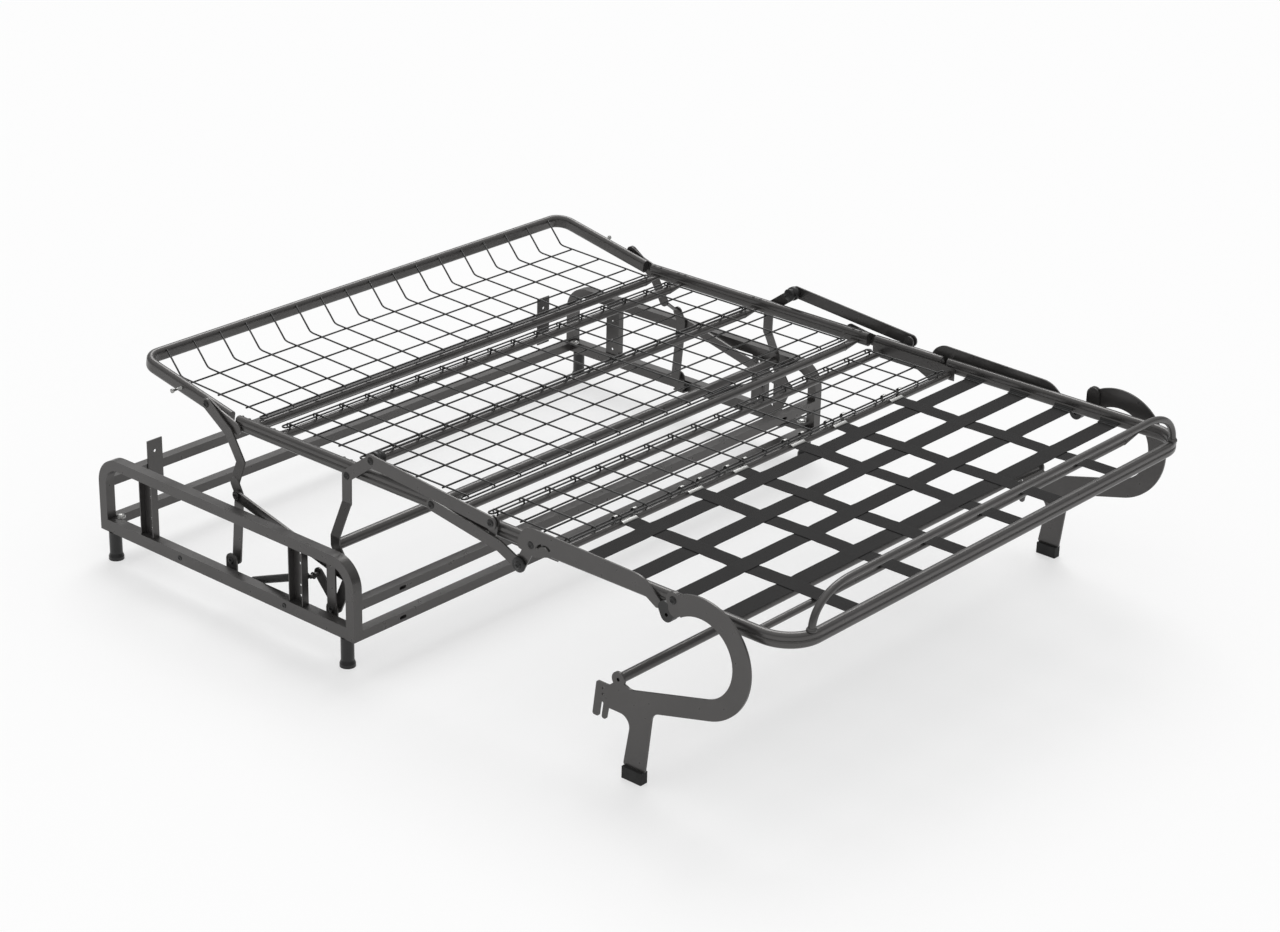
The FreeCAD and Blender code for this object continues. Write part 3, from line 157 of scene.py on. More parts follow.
def shape_of(name, grids, body, material):
    """One piece from grids of points, each closed round its second parameter, with a UV map in metres.

    `body` is the name of the body that carries the piece. A piece between two bodies is given
    (first body, second body, start, end) instead; these are not used, and the piece is not attached to any body.
    """
    points, faces, charts = [], [], []
    start = 0
    for grid in grids:
        rows, columns = grid.shape[:2]
        index = start + np.arange(rows * columns).reshape(rows, columns)
        near, far = index[:-1], index[1:]
        quads = np.stack([near, np.roll(near, -1, axis=1), np.roll(far, -1, axis=1), far], axis=-1)
        faces.append(quads.reshape(-1, 4))
        points.append(grid.reshape(-1, 3))
        step = np.linalg.norm(np.diff(grid.mean(axis=1), axis=0), axis=1)
        v = np.concatenate([[0.0], np.cumsum(step)])
        middle = grid[rows // 2]
        round_step = np.linalg.norm(np.diff(middle, axis=0, append=middle[:1]), axis=1)
        u = np.concatenate([[0.0], np.cumsum(round_step)])
        left = np.broadcast_to(u[:-1], (rows - 1, columns))
        right = np.broadcast_to(u[1:], (rows - 1, columns))
        low = np.broadcast_to(v[:-1, None], (rows - 1, columns))
        high = np.broadcast_to(v[1:, None], (rows - 1, columns))
        charts.append(np.stack([left, low, right, low, right, high, left, high], axis=-1).reshape(-1, 2))
        start += rows * columns
    mesh = bpy.data.meshes.new(name)
    mesh.from_pydata(np.concatenate(points), [], np.concatenate(faces).tolist())
    layer = mesh.uv_layers.new(name="UVMap")
    layer.data.foreach_set("uv", np.concatenate(charts).astype(np.float32).ravel())
    work = bmesh.new()
    work.from_mesh(mesh)
    bmesh.ops.remove_doubles(work, verts=work.verts, dist=1e-6)
    bmesh.ops.recalc_face_normals(work, faces=work.faces)
    work.to_mesh(mesh)
    work.free()
    mesh.polygons.foreach_set("use_smooth", np.full(len(mesh.polygons), True))
    piece = bpy.data.objects.new(name, mesh)
    bpy.context.scene.collection.objects.link(piece)
    piece.data.materials.append(material)
    if isinstance(body, str):
        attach(piece, body)
    else:
        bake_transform(piece)
    return piece


# Finishes

# Scales of the coat's noise in features per metre, and the span of the noise that the gloss follows

DRIFT_SCALE = 9.0
PEEL_SCALE = 900.0
SCUFF_SCALE = 40.0
SCUFF_SPAN = (0.3, 0.7)
PEEL_DEPTH = 0.0003

# Pitch and depth of the weave, and how much of it the weft and the shade take; the shade is painted shade that
# darkens the weave's grooves

RIB_WIDTH = 0.0016
WEFT_STEP = 0.0030
WEAVE_DEPTH = 0.0006
WEFT_SHARE = 0.6
SHADE_SHARE = 0.55


def noise(nodes, links, scale, detail, source):
    """Noise texture read at the given coordinates."""
    texture = nodes.new("ShaderNodeTexNoise")
    texture.inputs["Scale"].default_value = scale
    texture.inputs["Detail"].default_value = detail
    links.new(source, texture.inputs["Vector"])
    return texture


def coat_group():
    """Powder coat: broad tone drift, fine orange peel and a roughness that follows a noise of its own."""
    group = bpy.data.node_groups.new("powder_coat", "ShaderNodeTree")
    face = group.interface
    face.new_socket("Dark", in_out="INPUT", socket_type="NodeSocketColor")
    face.new_socket("Light", in_out="INPUT", socket_type="NodeSocketColor")
    face.new_socket("Rough Low", in_out="INPUT", socket_type="NodeSocketFloat")
    face.new_socket("Rough High", in_out="INPUT", socket_type="NodeSocketFloat")
    face.new_socket("Color", in_out="OUTPUT", socket_type="NodeSocketColor")
    face.new_socket("Roughness", in_out="OUTPUT", socket_type="NodeSocketFloat")
    face.new_socket("Height", in_out="OUTPUT", socket_type="NodeSocketFloat")
    nodes, links = group.nodes, group.links
    entry = nodes.new("NodeGroupInput")
    leave = nodes.new("NodeGroupOutput")
    place = nodes.new("ShaderNodeTexCoord").outputs["Object"]
    drift = noise(nodes, links, DRIFT_SCALE, 4.0, place)
    peel = noise(nodes, links, PEEL_SCALE, 2.0, place)
    scuff = noise(nodes, links, SCUFF_SCALE, 2.0, place)
    blend = nodes.new("ShaderNodeMix")
    blend.data_type = "RGBA"
    links.new(drift.outputs["Fac"], blend.inputs["Factor"])
    links.new(entry.outputs["Dark"], blend.inputs["A"])
    links.new(entry.outputs["Light"], blend.inputs["B"])
    rough = nodes.new("ShaderNodeMapRange")
    rough.inputs["From Min"].default_value = SCUFF_SPAN[0]
    rough.inputs["From Max"].default_value = SCUFF_SPAN[1]
    links.new(scuff.outputs["Fac"], rough.inputs["Value"])
    links.new(entry.outputs["Rough Low"], rough.inputs["To Min"])
    links.new(entry.outputs["Rough High"], rough.inputs["To Max"])
    links.new(blend.outputs["Result"], leave.inputs["Color"])
    links.new(rough.outputs["Result"], leave.inputs["Roughness"])
    links.new(peel.outputs["Fac"], leave.inputs["Height"])
    return group


def weave_group():
    """Woven webbing: warp ribs along the strap crossed by weft steps that shift from rib to rib. Its shade output
    is painted shade: the colour is darker where the weave is low, in the grooves.
    """
    group = bpy.data.node_groups.new("webbing_weave", "ShaderNodeTree")
    face = group.interface
    face.new_socket("Rib", in_out="INPUT", socket_type="NodeSocketFloat")
    face.new_socket("Step", in_out="INPUT", socket_type="NodeSocketFloat")
    face.new_socket("Height", in_out="OUTPUT", socket_type="NodeSocketFloat")
    face.new_socket("Shade", in_out="OUTPUT", socket_type="NodeSocketFloat")
    nodes, links = group.nodes, group.links
    entry = nodes.new("NodeGroupInput")
    leave = nodes.new("NodeGroupOutput")
    parts = nodes.new("ShaderNodeSeparateXYZ")
    links.new(nodes.new("ShaderNodeUVMap").outputs["UV"], parts.inputs["Vector"])

    def maths(kind, first, second=None):
        """Math node fed by sockets or plain numbers."""
        node = nodes.new("ShaderNodeMath")
        node.operation = kind
        for socket, value in zip(node.inputs, (first, second)):
            if isinstance(value, float):
                socket.default_value = value
            elif value is not None:
                links.new(value, socket)
        return node.outputs["Value"]

    ribs = maths("DIVIDE", parts.outputs["X"], entry.outputs["Rib"])
    steps = maths("DIVIDE", parts.outputs["Y"], entry.outputs["Step"])
    rib_wave = maths("ABSOLUTE", maths("SINE", maths("MULTIPLY", ribs, math.pi)))
    shift = maths("MULTIPLY", maths("FLOOR", ribs), 0.5)
    step_wave = maths("ABSOLUTE", maths("SINE", maths("MULTIPLY", maths("ADD", steps, shift), math.pi)))
    weft = maths("ADD", maths("MULTIPLY", step_wave, WEFT_SHARE), 1.0 - WEFT_SHARE)
    height = maths("MULTIPLY", rib_wave, weft)
    # Painted shade: the colour factor falls with the weave's height, so the grooves are painted darker
    shade = maths("ADD", maths("MULTIPLY", height, SHADE_SHARE), 1.0 - SHADE_SHARE)
    links.new(height, leave.inputs["Height"])
    links.new(shade, leave.inputs["Shade"])
    return group


COAT = coat_group()
WEAVE = weave_group()


def new_material(name):
    """A node material with its nodes, links and Principled shader."""
    material = bpy.data.materials.new(name)
    material.use_nodes = True
    nodes = material.node_tree.nodes
    return material, nodes, material.node_tree.links, nodes["Principled BSDF"]


def bump(nodes, links, height, shader, strength, distance):
    """Bump node from a height to the shader's normal."""
    node = nodes.new("ShaderNodeBump")
    node.inputs["Strength"].default_value = strength
    node.inputs["Distance"].default_value = distance
    links.new(height, node.inputs["Height"])
    links.new(node.outputs["Normal"], shader.inputs["Normal"])


def coated(name, dark, light, rough, strength, metallic=0.0):
    """Painted, dipped or moulded surface: the coat group with its own tones and gloss."""
    material, nodes, links, shader = new_material(name)
    coat = nodes.new("ShaderNodeGroup")
    coat.node_tree = COAT
    coat.inputs["Dark"].default_value = (*dark, 1.0)
    coat.inputs["Light"].default_value = (*light, 1.0)
    coat.inputs["Rough Low"].default_value = rough[0]
    coat.inputs["Rough High"].default_value = rough[1]
    links.new(coat.outputs["Color"], shader.inputs["Base Color"])
    links.new(coat.outputs["Roughness"], shader.inputs["Roughness"])
    shader.inputs["Metallic"].default_value = metallic
    bump(nodes, links, coat.outputs["Height"], shader, strength, PEEL_DEPTH)
    return material


def woven(name, dark, light):
    """Charcoal webbing: woven ribs from the strap's own UV map, matt with a little sheen."""
    material, nodes, links, shader = new_material(name)
    weave = nodes.new("ShaderNodeGroup")
    weave.node_tree = WEAVE
    weave.inputs["Rib"].default_value = RIB_WIDTH
    weave.inputs["Step"].default_value = WEFT_STEP
    blend = nodes.new("ShaderNodeMix")
    blend.data_type = "RGBA"
    blend.inputs["A"].default_value = (*dark, 1.0)
    blend.inputs["B"].default_value = (*light, 1.0)
    # Painted shade: the weave's grooves take the dark tone and its raised ribs the light one
    links.new(weave.outputs["Shade"], blend.inputs["Factor"])
    links.new(blend.outputs["Result"], shader.inputs["Base Color"])
    shader.inputs["Roughness"].default_value = 0.85
    shader.inputs["Specular IOR Level"].default_value = 0.25
    shader.inputs["Sheen Weight"].default_value = 0.02
    shader.inputs["Sheen Roughness"].default_value = 0.5
    bump(nodes, links, weave.outputs["Height"], shader, 0.5, WEAVE_DEPTH)
    return material


# Tones dark and light, roughness low and high, strength of the peel

ANTHRACITE = coated("anthracite_coat", (0.073, 0.0705, 0.0690), (0.096, 0.0925, 0.0905), (0.27, 0.33),
                    0.006, metallic=0.55)
DIPPED_WIRE = coated("dipped_wire", (0.010, 0.010, 0.010), (0.018, 0.0175, 0.017), (0.36, 0.44), 0.006)
MOULDED = coated("moulded_black", (0.006, 0.006, 0.006), (0.011, 0.011, 0.011), (0.32, 0.42), 0.03)
RUBBER = coated("foot_rubber", (0.010, 0.010, 0.010), (0.017, 0.017, 0.017), (0.70, 0.85), 0.3)
SPRING_BLACK = coated("spring_black", (0.010, 0.010, 0.010), (0.017, 0.017, 0.017), (0.28, 0.40), 0.05)
ZINC = coated("bright_zinc", (0.34, 0.34, 0.33), (0.46, 0.46, 0.45), (0.34, 0.42), 0.006, metallic=1.0)
RIVET_STEEL = coated("dark_rivet", (0.014, 0.0137, 0.0135), (0.022, 0.0215, 0.021), (0.24, 0.32),
                     0.006, metallic=0.3)
WEBBING = woven("charcoal_webbing", (0.007, 0.0068, 0.0068), (0.021, 0.0202, 0.0200))
BY_SLOT = {
    "frame_coat": ANTHRACITE,
    "mesh_wire": DIPPED_WIRE,
    "leg_plastic": MOULDED,
    "black_plastic": MOULDED,
    "webbing": WEBBING,
    "foot_rubber": RUBBER,
    "spring_coat": SPRING_BLACK,
}
for part in frame["record"]["subparts"]:
    piece = frame["nodes"][part["node"]]
    piece.data.materials.clear()
    piece.data.materials.append(BY_SLOT[part["material_slot"]])


# Wire meshes

def side_path(line, x):
    """A line in the side view (y, z) placed at one x."""
    line = np.asarray(line, float)
    return np.column_stack([np.full(len(line), x), line])


def curl(centre, radius, first, last, count):
    """Arc in the side view about a rod, between two angles in degrees from +Y."""
    t = np.radians(np.linspace(first, last, count))
    return np.column_stack([centre[0] + radius * np.cos(t), centre[1] + radius * np.sin(t)])


def straight_wire(y, z, reach):
    """Straight wire along X."""
    x = np.linspace(-reach, reach, 3)
    return np.column_stack([x, np.full(3, y), np.full(3, z)])


def rod_loop(y, z, reach, half_gap=ROD_GAP):
    """Long narrow loop of rod: two runs along X joined by half circles.

    The right half circle is x = reach + g cos t and y + g sin t, and the left one is its mirror image.
    """
    t = np.radians(np.linspace(-90.0, 90.0, 9))
    right = np.column_stack([reach + half_gap * np.cos(t), y + half_gap * np.sin(t)])
    left = np.column_stack([-reach - half_gap * np.cos(t), y - half_gap * np.sin(t)])
    start = np.array([[0.0, y - half_gap]])
    flat = np.concatenate([start, right, left, start])
    path = np.column_stack([flat, np.full(len(flat), z)])
    return sweep(path, ring(ROD_R, 8), (0.0, 0.0, 1.0), ends=False)


def stem(x, y, low, high):
    """Short upright wire from a cross tube to the mesh wire above it."""
    path = np.column_stack([np.full(3, x), np.full(3, y), np.linspace(low, high, 3)])
    return sweep(path, ring(WIRE_R, 8), (1.0, 0.0, 0.0))


def mesh_panel(name, line, rows, rods, stems, body, nodes):
    """Long wires of one side line, cross wires under them, and the rods and stems that hold them."""
    round_wire = ring(WIRE_R, 8)
    reach = WIRE_X[-1] + WIRE_R
    grids = [sweep(side_path(line, x), round_wire, (1.0, 0.0, 0.0)) for x in WIRE_X]
    grids += [sweep(straight_wire(y, z, reach), round_wire, (0.0, 1.0, 0.0)) for y, z in rows]
    grids += [rod_loop(y, z, reach + ROD_PAST_WIRES) for y, z in rods]
    grids += [stem(x, y, low, high) for y, low, high in stems for x in WIRE_X]
    piece = shape_of(name, grids, body, DIPPED_WIRE)
    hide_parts(*nodes)


HOOK_R = ROD_R + WIRE_R
HOOK_POINTS = 12


def hooked_line(front_rod, rear_rod, level):
    """Side line of a wire that curls round a rod at each end: two arcs with a straight run between them."""
    front = curl((front_rod, level), HOOK_R, 320.0, 90.0, HOOK_POINTS)
    rear = curl((rear_rod, level), HOOK_R, 90.0, -140.0, HOOK_POINTS)
    return np.concatenate([front, rear])


def inner_rows(first_bar, last_bar, count, level):
    """Cross wires at even steps between two bars, under the long wires."""
    return [(y, level - 2.0 * WIRE_R) for y in np.linspace(first_bar, last_bar, count)[1:-1]]


main_top = MAIN_BAR_Z + MAIN_BAR_R
main_rod = main_top + ROD_R + 2.0 * WIRE_R
main_level = main_rod + HOOK_R
MAIN_REAR_ROD = MAIN_BARS[0] + 0.005
MAIN_MIDDLE_ROD = MAIN_BARS[1] + 0.001
MAIN_FRONT_ROD = MAIN_BARS[2] + 0.009
main_line = hooked_line(MAIN_FRONT_ROD, MAIN_REAR_ROD, main_rod)
main_rows = inner_rows(MAIN_BARS[0], MAIN_BARS[2], 8, main_level)
main_rods = [(y, main_rod) for y in (MAIN_REAR_ROD, MAIN_MIDDLE_ROD, MAIN_FRONT_ROD)]
main_stems = [(y, main_top - STEM_SINK, main_level) for y in MAIN_BARS[:2]]
mesh_panel("main_wire_mesh", main_line, main_rows, main_rods, main_stems, "main_section", ("main_mesh",))

short_top = SHORT_BAR_Z + SHORT_BAR_R
short_rod = short_top + ROD_R + 2.0 * WIRE_R
short_level = short_rod + HOOK_R
SHORT_REAR_ROD = SHORT_BARS[0] + 0.009
SHORT_FRONT_ROD = SHORT_BARS[1] + 0.003
short_line = hooked_line(SHORT_FRONT_ROD, SHORT_REAR_ROD, short_rod)
short_rows = inner_rows(SHORT_BARS[0], SHORT_BARS[1], 4, short_level)
short_rods = [(SHORT_REAR_ROD, short_rod)]
short_stems = [(SHORT_BARS[0], short_top - STEM_SINK, short_level)]
mesh_panel("short_wire_mesh", short_line, short_rows, short_rods, short_stems, "short_section",
           ("short_mesh",))

HEAD_KNEE = np.array([0.8720, 0.4310])
HEAD_TOP = np.array([0.9200, 0.4855])
HEAD_ROD = np.array([HEAD_BAR - 0.002, main_rod])
HEAD_REST = np.array([0.650, 0.4230])
HEAD_ROWS = (0.6497, 0.744, 0.838)
HEAD_HINGE_Z = 0.41
HEAD_ROD_PAST_WIRES = 0.008


def head_line():
    """Side line of a headrest wire: an arc on the head bar's rod, a run to the knee, then up to the rail."""
    loop = curl(HEAD_ROD, HOOK_R, 230.0, 90.0, 9)
    share = np.linspace(0.0, 1.0, 9)[1:, None]
    flat = (1.0 - share) * HEAD_REST + share * (HEAD_KNEE - (0.010, 0.0010))
    knee = HEAD_KNEE + np.array([(-0.004, 0.0), (0.0005, 0.0014), (0.004, 0.0042)])
    return np.concatenate([loop, HEAD_REST[None, :], flat, knee, HEAD_TOP[None, :]])


def on_head_line(y):
    """Height of a cross wire that lies under the headrest's long wires at y."""
    share = (y - HEAD_REST[0]) / (HEAD_KNEE[0] - HEAD_REST[0])
    return HEAD_REST[1] + share * (HEAD_KNEE[1] - HEAD_REST[1]) - 2.0 * WIRE_R


HEAD_BEND = ("main_section", "headrest", (0.0, HEAD_BAR + 0.004, HEAD_HINGE_Z),
             (0.0, HEAD_REST[0] - 0.010, HEAD_HINGE_Z))
HEAD_NODES = ("headrest_mesh", "headrest_mesh_rear", "headrest_lower_bar")
head_rows = [(y, on_head_line(y)) for y in HEAD_ROWS]
mesh_panel("headrest_wire_mesh", head_line(), head_rows, [], [], HEAD_BEND, HEAD_NODES)
head_rod = rod_loop(HEAD_ROD[0], main_rod, WIRE_X[-1] + HEAD_ROD_PAST_WIRES)
shape_of("head_bar_rod", [head_rod], "main_section", DIPPED_WIRE)


# Webbing of the foot section

PLATEAU_HALF = 0.034


def plateau(distance):
    """Flat-topped bump: exp(-(d / half)^6)."""
    return np.exp(-(distance / PLATEAU_HALF) ** 6)


def woven_lift(along, crossings, first):
    """Rise and fall of a strap that goes over and under by turns: plateaus of alternating sign, added up."""
    signs = first * (-1.0) ** np.arange(len(crossings))
    distance = along[:, None] - np.asarray(crossings)[None, :]
    return STRAP_LIFT * np.sum(signs * plateau(distance), axis=1)


LONG_HEAD = SHORT_BARS[1] - 0.014
LONG_FOOT = FOOT_INSIDE - 0.0006


def cross_strap(y, first):
    """A strap from rail to rail, over and under the long straps."""
    x = np.linspace(-STRAP_REACH, STRAP_REACH, 240)
    path = np.column_stack([x, np.full(len(x), y), STRAP_Z + woven_lift(x, LONG_STRAPS, first)])
    return sweep(path, band(STRAP_HALF, STRAP_THICK / 2.0), (0.0, 1.0, 0.0))


def long_strap(x, first):
    """A strap from the clips of the short section's front bar to the foot rail."""
    y = np.linspace(LONG_HEAD, LONG_FOOT, 200)
    line = np.column_stack([y, STRAP_Z - woven_lift(y, CROSS_STRAPS, first)])
    return sweep(side_path(line, x), band(STRAP_HALF, STRAP_THICK / 2.0), (1.0, 0.0, 0.0))


HOOK_PAST_STRAP = 0.0015
HOOK_HALF_THICK = 0.0011


def hem_hook(path, across):
    """Flat hook of bent strip at a strap's end: a band wider than the strap, carried along a short path."""
    return sweep(path, band(STRAP_HALF + HOOK_PAST_STRAP, HOOK_HALF_THICK), across)


cross_grids = [cross_strap(y, (-1.0) ** i) for i, y in enumerate(CROSS_STRAPS)]
cross_webbing = shape_of("cross_webbing", cross_grids, "foot_section", WEBBING)
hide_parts("cross_straps")
long_grids = [long_strap(x, (-1.0) ** i) for i, x in enumerate(LONG_STRAPS)]
STRAP_BEND = ("short_section", "foot_section", (0.0, SHORT_BARS[1] - 0.011, STRAP_Z),
              (0.0, CROSS_STRAPS[0] + STRAP_HALF + 0.001, STRAP_Z))
long_webbing = shape_of("long_webbing", long_grids, STRAP_BEND, WEBBING)
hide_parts("long_straps")

# Way along the strap and rise above it
HOOK_RUN = np.array([(-0.011, 0.0012), (-0.006, 0.0013), (-0.002, 0.0022),
                     (-0.0006, 0.0050), (-0.0004, 0.0085)])


def rail_hook(side, y):
    """Hook that lifts a cross strap's end onto the rail's inner face."""
    x = side * (STRAP_REACH + HOOK_RUN[:, 0])
    path = np.column_stack([x, np.full(len(HOOK_RUN), y), STRAP_Z + HOOK_RUN[:, 1]])
    return hem_hook(path, (0.0, 1.0, 0.0))


def foot_hook(x):
    """Hook that lifts a long strap's end onto the foot rail's inner face."""
    line = np.column_stack([FOOT_INSIDE - HOOK_RUN[:, 0], STRAP_Z + HOOK_RUN[:, 1]])
    return hem_hook(side_path(line, x), (1.0, 0.0, 0.0))


hooks = [rail_hook(side, y) for side in SIDES for y in CROSS_STRAPS] + [foot_hook(x) for x in LONG_STRAPS]
shape_of("strap_hooks", hooks, "foot_section", MOULDED)


# Rod and bright strap clips on the short section's front bar

CLIP_R = 0.0078
CLIP_BAND = (0.0050, 0.0008)
CLIP_STEPS = (-0.030, 0.030)
PLATE_START = SHORT_BARS[1] - 0.008
PLATE_HALF_THICK = 0.0007
FRONT_ROD_PAST_WIRES = 0.020
FRONT_ROD_GAP = 0.0052


def bar_clip(x):
    """C-shaped clip bent over the bar's rod: an arc of flat strip, from below its front to its rear."""
    line = curl((SHORT_FRONT_ROD, short_rod), CLIP_R, -150.0, 120.0, 16)
    return sweep(side_path(line, x), band(*CLIP_BAND), (1.0, 0.0, 0.0))


def strap_plate(x):
    """Bright folded plate along a long strap's head: a flat band that tucks under the strap."""
    line = np.array([(0.001, 0.0052), (-0.002, 0.0046), (-0.005, 0.0030), (-0.008, 0.0014)])
    line = line + (PLATE_START, STRAP_Z)
    return sweep(side_path(line, x), band(STRAP_HALF, PLATE_HALF_THICK), (1.0, 0.0, 0.0))


front_rod = rod_loop(SHORT_FRONT_ROD, short_rod, WIRE_X[-1] + FRONT_ROD_PAST_WIRES, FRONT_ROD_GAP)
shape_of("front_bar_rod", [front_rod], "short_section", DIPPED_WIRE)
bright = [bar_clip(x + step) for x in LONG_STRAPS for step in CLIP_STEPS]
bright += [strap_plate(x) for x in LONG_STRAPS]
shape_of("front_bar_clips", bright, "short_section", ZINC)


# Tension springs

SPRING_X = 0.771
SPRING_TOP = np.array([0.298, 0.164])
SPRING_END = np.array([0.5185, 0.0764])
SPRING_R = 0.0078
SPRING_WIRE = 0.0016
SPRING_TURNS = 52
COIL_START = 0.026
COIL_SHORT_BY = 0.050
EYE_R = 0.0068
SHANK = (0.0085, 0.022)
PLUG = ((0.019, 0.0), (0.019, 0.0046), (0.021, 0.0076), (0.028, 0.0080), (0.030, 0.0060), (0.030, 0.0))


def coil_spring(side):
    """A close helix between two hooks: axis + r (cos t, sin t), with t running many turns along the axis."""
    run = unit(SPRING_END - SPRING_TOP)
    length = np.linalg.norm(SPRING_END - SPRING_TOP)
    t = np.linspace(0.0, 1.0, SPRING_TURNS * 12)
    s = COIL_START + (length - COIL_SHORT_BY) * t
    angle = 2.0 * np.pi * SPRING_TURNS * t
    base = SPRING_TOP + s[:, None] * run
    normal = np.array([-run[1], run[0]])
    x = side * SPRING_X + SPRING_R * np.cos(angle)
    flat = base + SPRING_R * np.sin(angle)[:, None] * normal
    return sweep(np.column_stack([x, flat]), ring(SPRING_WIRE, 6), np.array([0.0, run[0], run[1]]))


def spring_cap(side, start, end):
    """Moulded plug at a spring's end: a stepped profile turned about the spring's axis."""
    run = unit(end - start)
    return turned(PLUG, (side * SPRING_X, *start), (0.0, *run), 16)


def spring_shank(side, start, end):
    """Straight hook wire between a stud's eye and the plug."""
    run = unit(end - start)
    line = start + np.linspace(*SHANK, 3)[:, None] * run
    return sweep(side_path(line, side * SPRING_X), ring(SPRING_WIRE, 8), (1.0, 0.0, 0.0))


def spring_eye(side, stud):
    """Eye of the hook wire: a circle about the stud."""
    line = curl(stud, EYE_R, 0.0, 360.0, 25)
    return sweep(side_path(line, side * SPRING_X), ring(SPRING_WIRE, 8), (1.0, 0.0, 0.0))


SPRING_ENDS = ((SPRING_TOP, SPRING_END), (SPRING_END, SPRING_TOP))
spring_grids = [coil_spring(side) for side in SIDES]
spring_grids += [spring_shank(side, *ends) for side in SIDES for ends in SPRING_ENDS]
spring_grids += [spring_cap(side, *ends) for side in SIDES for ends in SPRING_ENDS]
springs = shape_of("coil_springs", spring_grids, "base", SPRING_BLACK)
arm_eyes = [spring_eye(side, SPRING_TOP) for side in SIDES]
shape_of("spring_eyes_on_arms", arm_eyes, "front_arms", SPRING_BLACK)
base_eyes = [spring_eye(side, SPRING_END) for side in SIDES]
shape_of("spring_eyes_on_base", base_eyes, "base", SPRING_BLACK)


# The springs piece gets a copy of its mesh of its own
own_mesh(springs)
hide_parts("springs")


# Mattress hoop over the foot rail

HOOP_R = 0.008
HOOP_Y = 0.5 * (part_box("mattress_hoop")[0][1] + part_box("mattress_hoop")[1][1])
HOOP_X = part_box("mattress_hoop")[1][0] - HOOP_R
HOOP_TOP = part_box("mattress_hoop")[1][2] - HOOP_R
HOOP_SWEEP = 0.120
HOOP_SINK = 0.0015
HOOP_LEAVE = 0.050
HOOP_ARRIVE = 0.070
COLLAR = ((-0.001, 0.0), (-0.001, 0.0112), (0.0020, 0.0112), (0.0055, 0.0092), (0.0055, 0.0))


def hoop_side():
    """End of the hoop in (x, z): a cubic curve that leaves the rail upright and comes level at the top."""
    t = np.linspace(0.0, 1.0, 28)[:, None]
    foot = np.array([HOOP_X, RAIL_TOP - HOOP_SINK])
    level = np.array([HOOP_X - HOOP_SWEEP, HOOP_TOP])
    first = foot + (0.0, HOOP_LEAVE)
    second = level + (HOOP_ARRIVE, 0.0)
    rest = 1 - t
    return rest ** 3 * foot + 3 * rest ** 2 * t * first + 3 * rest * t ** 2 * second + t ** 3 * level


def hoop_tube():
    """Round tube along the two curved ends and the level run between them."""
    right = hoop_side()
    left = right[::-1] * (-1.0, 1.0)
    line = np.concatenate([right, left])
    path = np.column_stack([line[:, 0], np.full(len(line), HOOP_Y), line[:, 1]])
    return sweep(path, ring(HOOP_R, 20), (0.0, 1.0, 0.0))


def hoop_collar(side):
    """Weld collar round a hoop end: a low ring turned about Z."""
    return turned(COLLAR, (side * HOOP_X, HOOP_Y, RAIL_TOP), (0.0, 0.0, 1.0))


hoop_grids = [hoop_tube()] + [hoop_collar(side) for side in SIDES]
hoop = shape_of("bent_mattress_hoop", hoop_grids, "foot_section", ANTHRACITE)
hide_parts("mattress_hoop")


# Rivets, bolts and studs

# Profiles of the heads: distance along the axis and radius

RIVET = ((-0.001, 0.0), (-0.001, 0.0088), (0.0006, 0.0088), (0.0024, 0.0072),
         (0.0029, 0.0050), (0.0026, 0.0042), (0.0006, 0.0036), (0.0006, 0.0))
FLAT_RIVET = np.array(RIVET) * (0.4, 1.0)
WASHER = ((-0.0005, 0.0), (-0.0005, 0.0125), (0.0015, 0.0125), (0.0020, 0.0118), (0.0020, 0.0))
BOLT = ((-0.0005, 0.0), (-0.0005, 0.0105), (0.0012, 0.0105),
        (0.0030, 0.0088), (0.0046, 0.0050), (0.0050, 0.0))
DOT = ((-0.0008, 0.0), (-0.0008, 0.0034), (0.0004, 0.0034), (0.0012, 0.0022), (0.0014, 0.0))
SCREW = ((-0.0005, 0.0), (-0.0005, 0.0062), (0.0010, 0.0062), (0.0016, 0.0052),
         (0.0016, 0.0030), (0.0004, 0.0026), (0.0004, 0.0))
STUD = ((-0.004, 0.0), (-0.004, 0.0042), (0.003, 0.0042), (0.003, 0.0030),
        (0.024, 0.0030), (0.024, 0.0052), (0.028, 0.0052), (0.028, 0.0))
BUSHING = ((-0.0260, 0.0), (-0.0260, 0.0130), (-0.0240, 0.0155), (-0.0185, 0.0155), (-0.0175, 0.0138),
           (-0.0125, 0.0138), (-0.0115, 0.0172), (-0.0015, 0.0172), (-0.0004, 0.0160), (-0.0004, 0.0))
LINK_CAP = ((-0.0045, 0.0), (-0.0045, 0.0162), (-0.0038, 0.0170),
            (0.0006, 0.0170), (0.0013, 0.0162), (0.0013, 0.0))

# Outer faces of the plates that carry them, as distances from the bed's middle

FOOT_PLATE_FACE = 0.7155
ARM_TIP_BACK = 0.717
PLATE_FACE = 0.721
TAIL_CAP_FACE = 0.7222
UPPER_LINK_FACE = 0.7265
LEG_FACE = 0.743
BRACE_FACE = 0.764
TAB_FACE = 0.772
SILL_FACE = 0.8085

# Places in the side view (y, z), and other steps

HEAD_LINK = (0.6939, 0.4391)
BRACE_FRONT = (0.2013, 0.1877)
SHORT_EAR = (-0.1937, 0.4332)
TAIL = (-0.2688, 0.3613)
HEAD_STUD = (0.710, 0.790, 0.4475)
SILL_SCREWS = ((0.354, 0.085), (0.702, 0.085))
SILL_TOP = 0.100
LEG_X = 0.778
LEG_Y = (0.167, 0.945)
WASHER_TOP = 0.002
DOT_X = RAIL_X - 0.004
DOT_STEPS = (-0.011, 0.011)
MAIN_DOT_Z = RAIL_TOP - 0.0006
FOOT_DOT_Z = RAIL_TOP - 0.0018


def heads(name, profile, spots, body, material):
    """Fastener heads on both sides of the bed: a profile turned about X, facing outwards."""
    grids = [turned(profile, (side * x, y, z), (side, 0.0, 0.0)) for x, y, z in spots for side in SIDES]
    shape_of(name, grids, body, material)


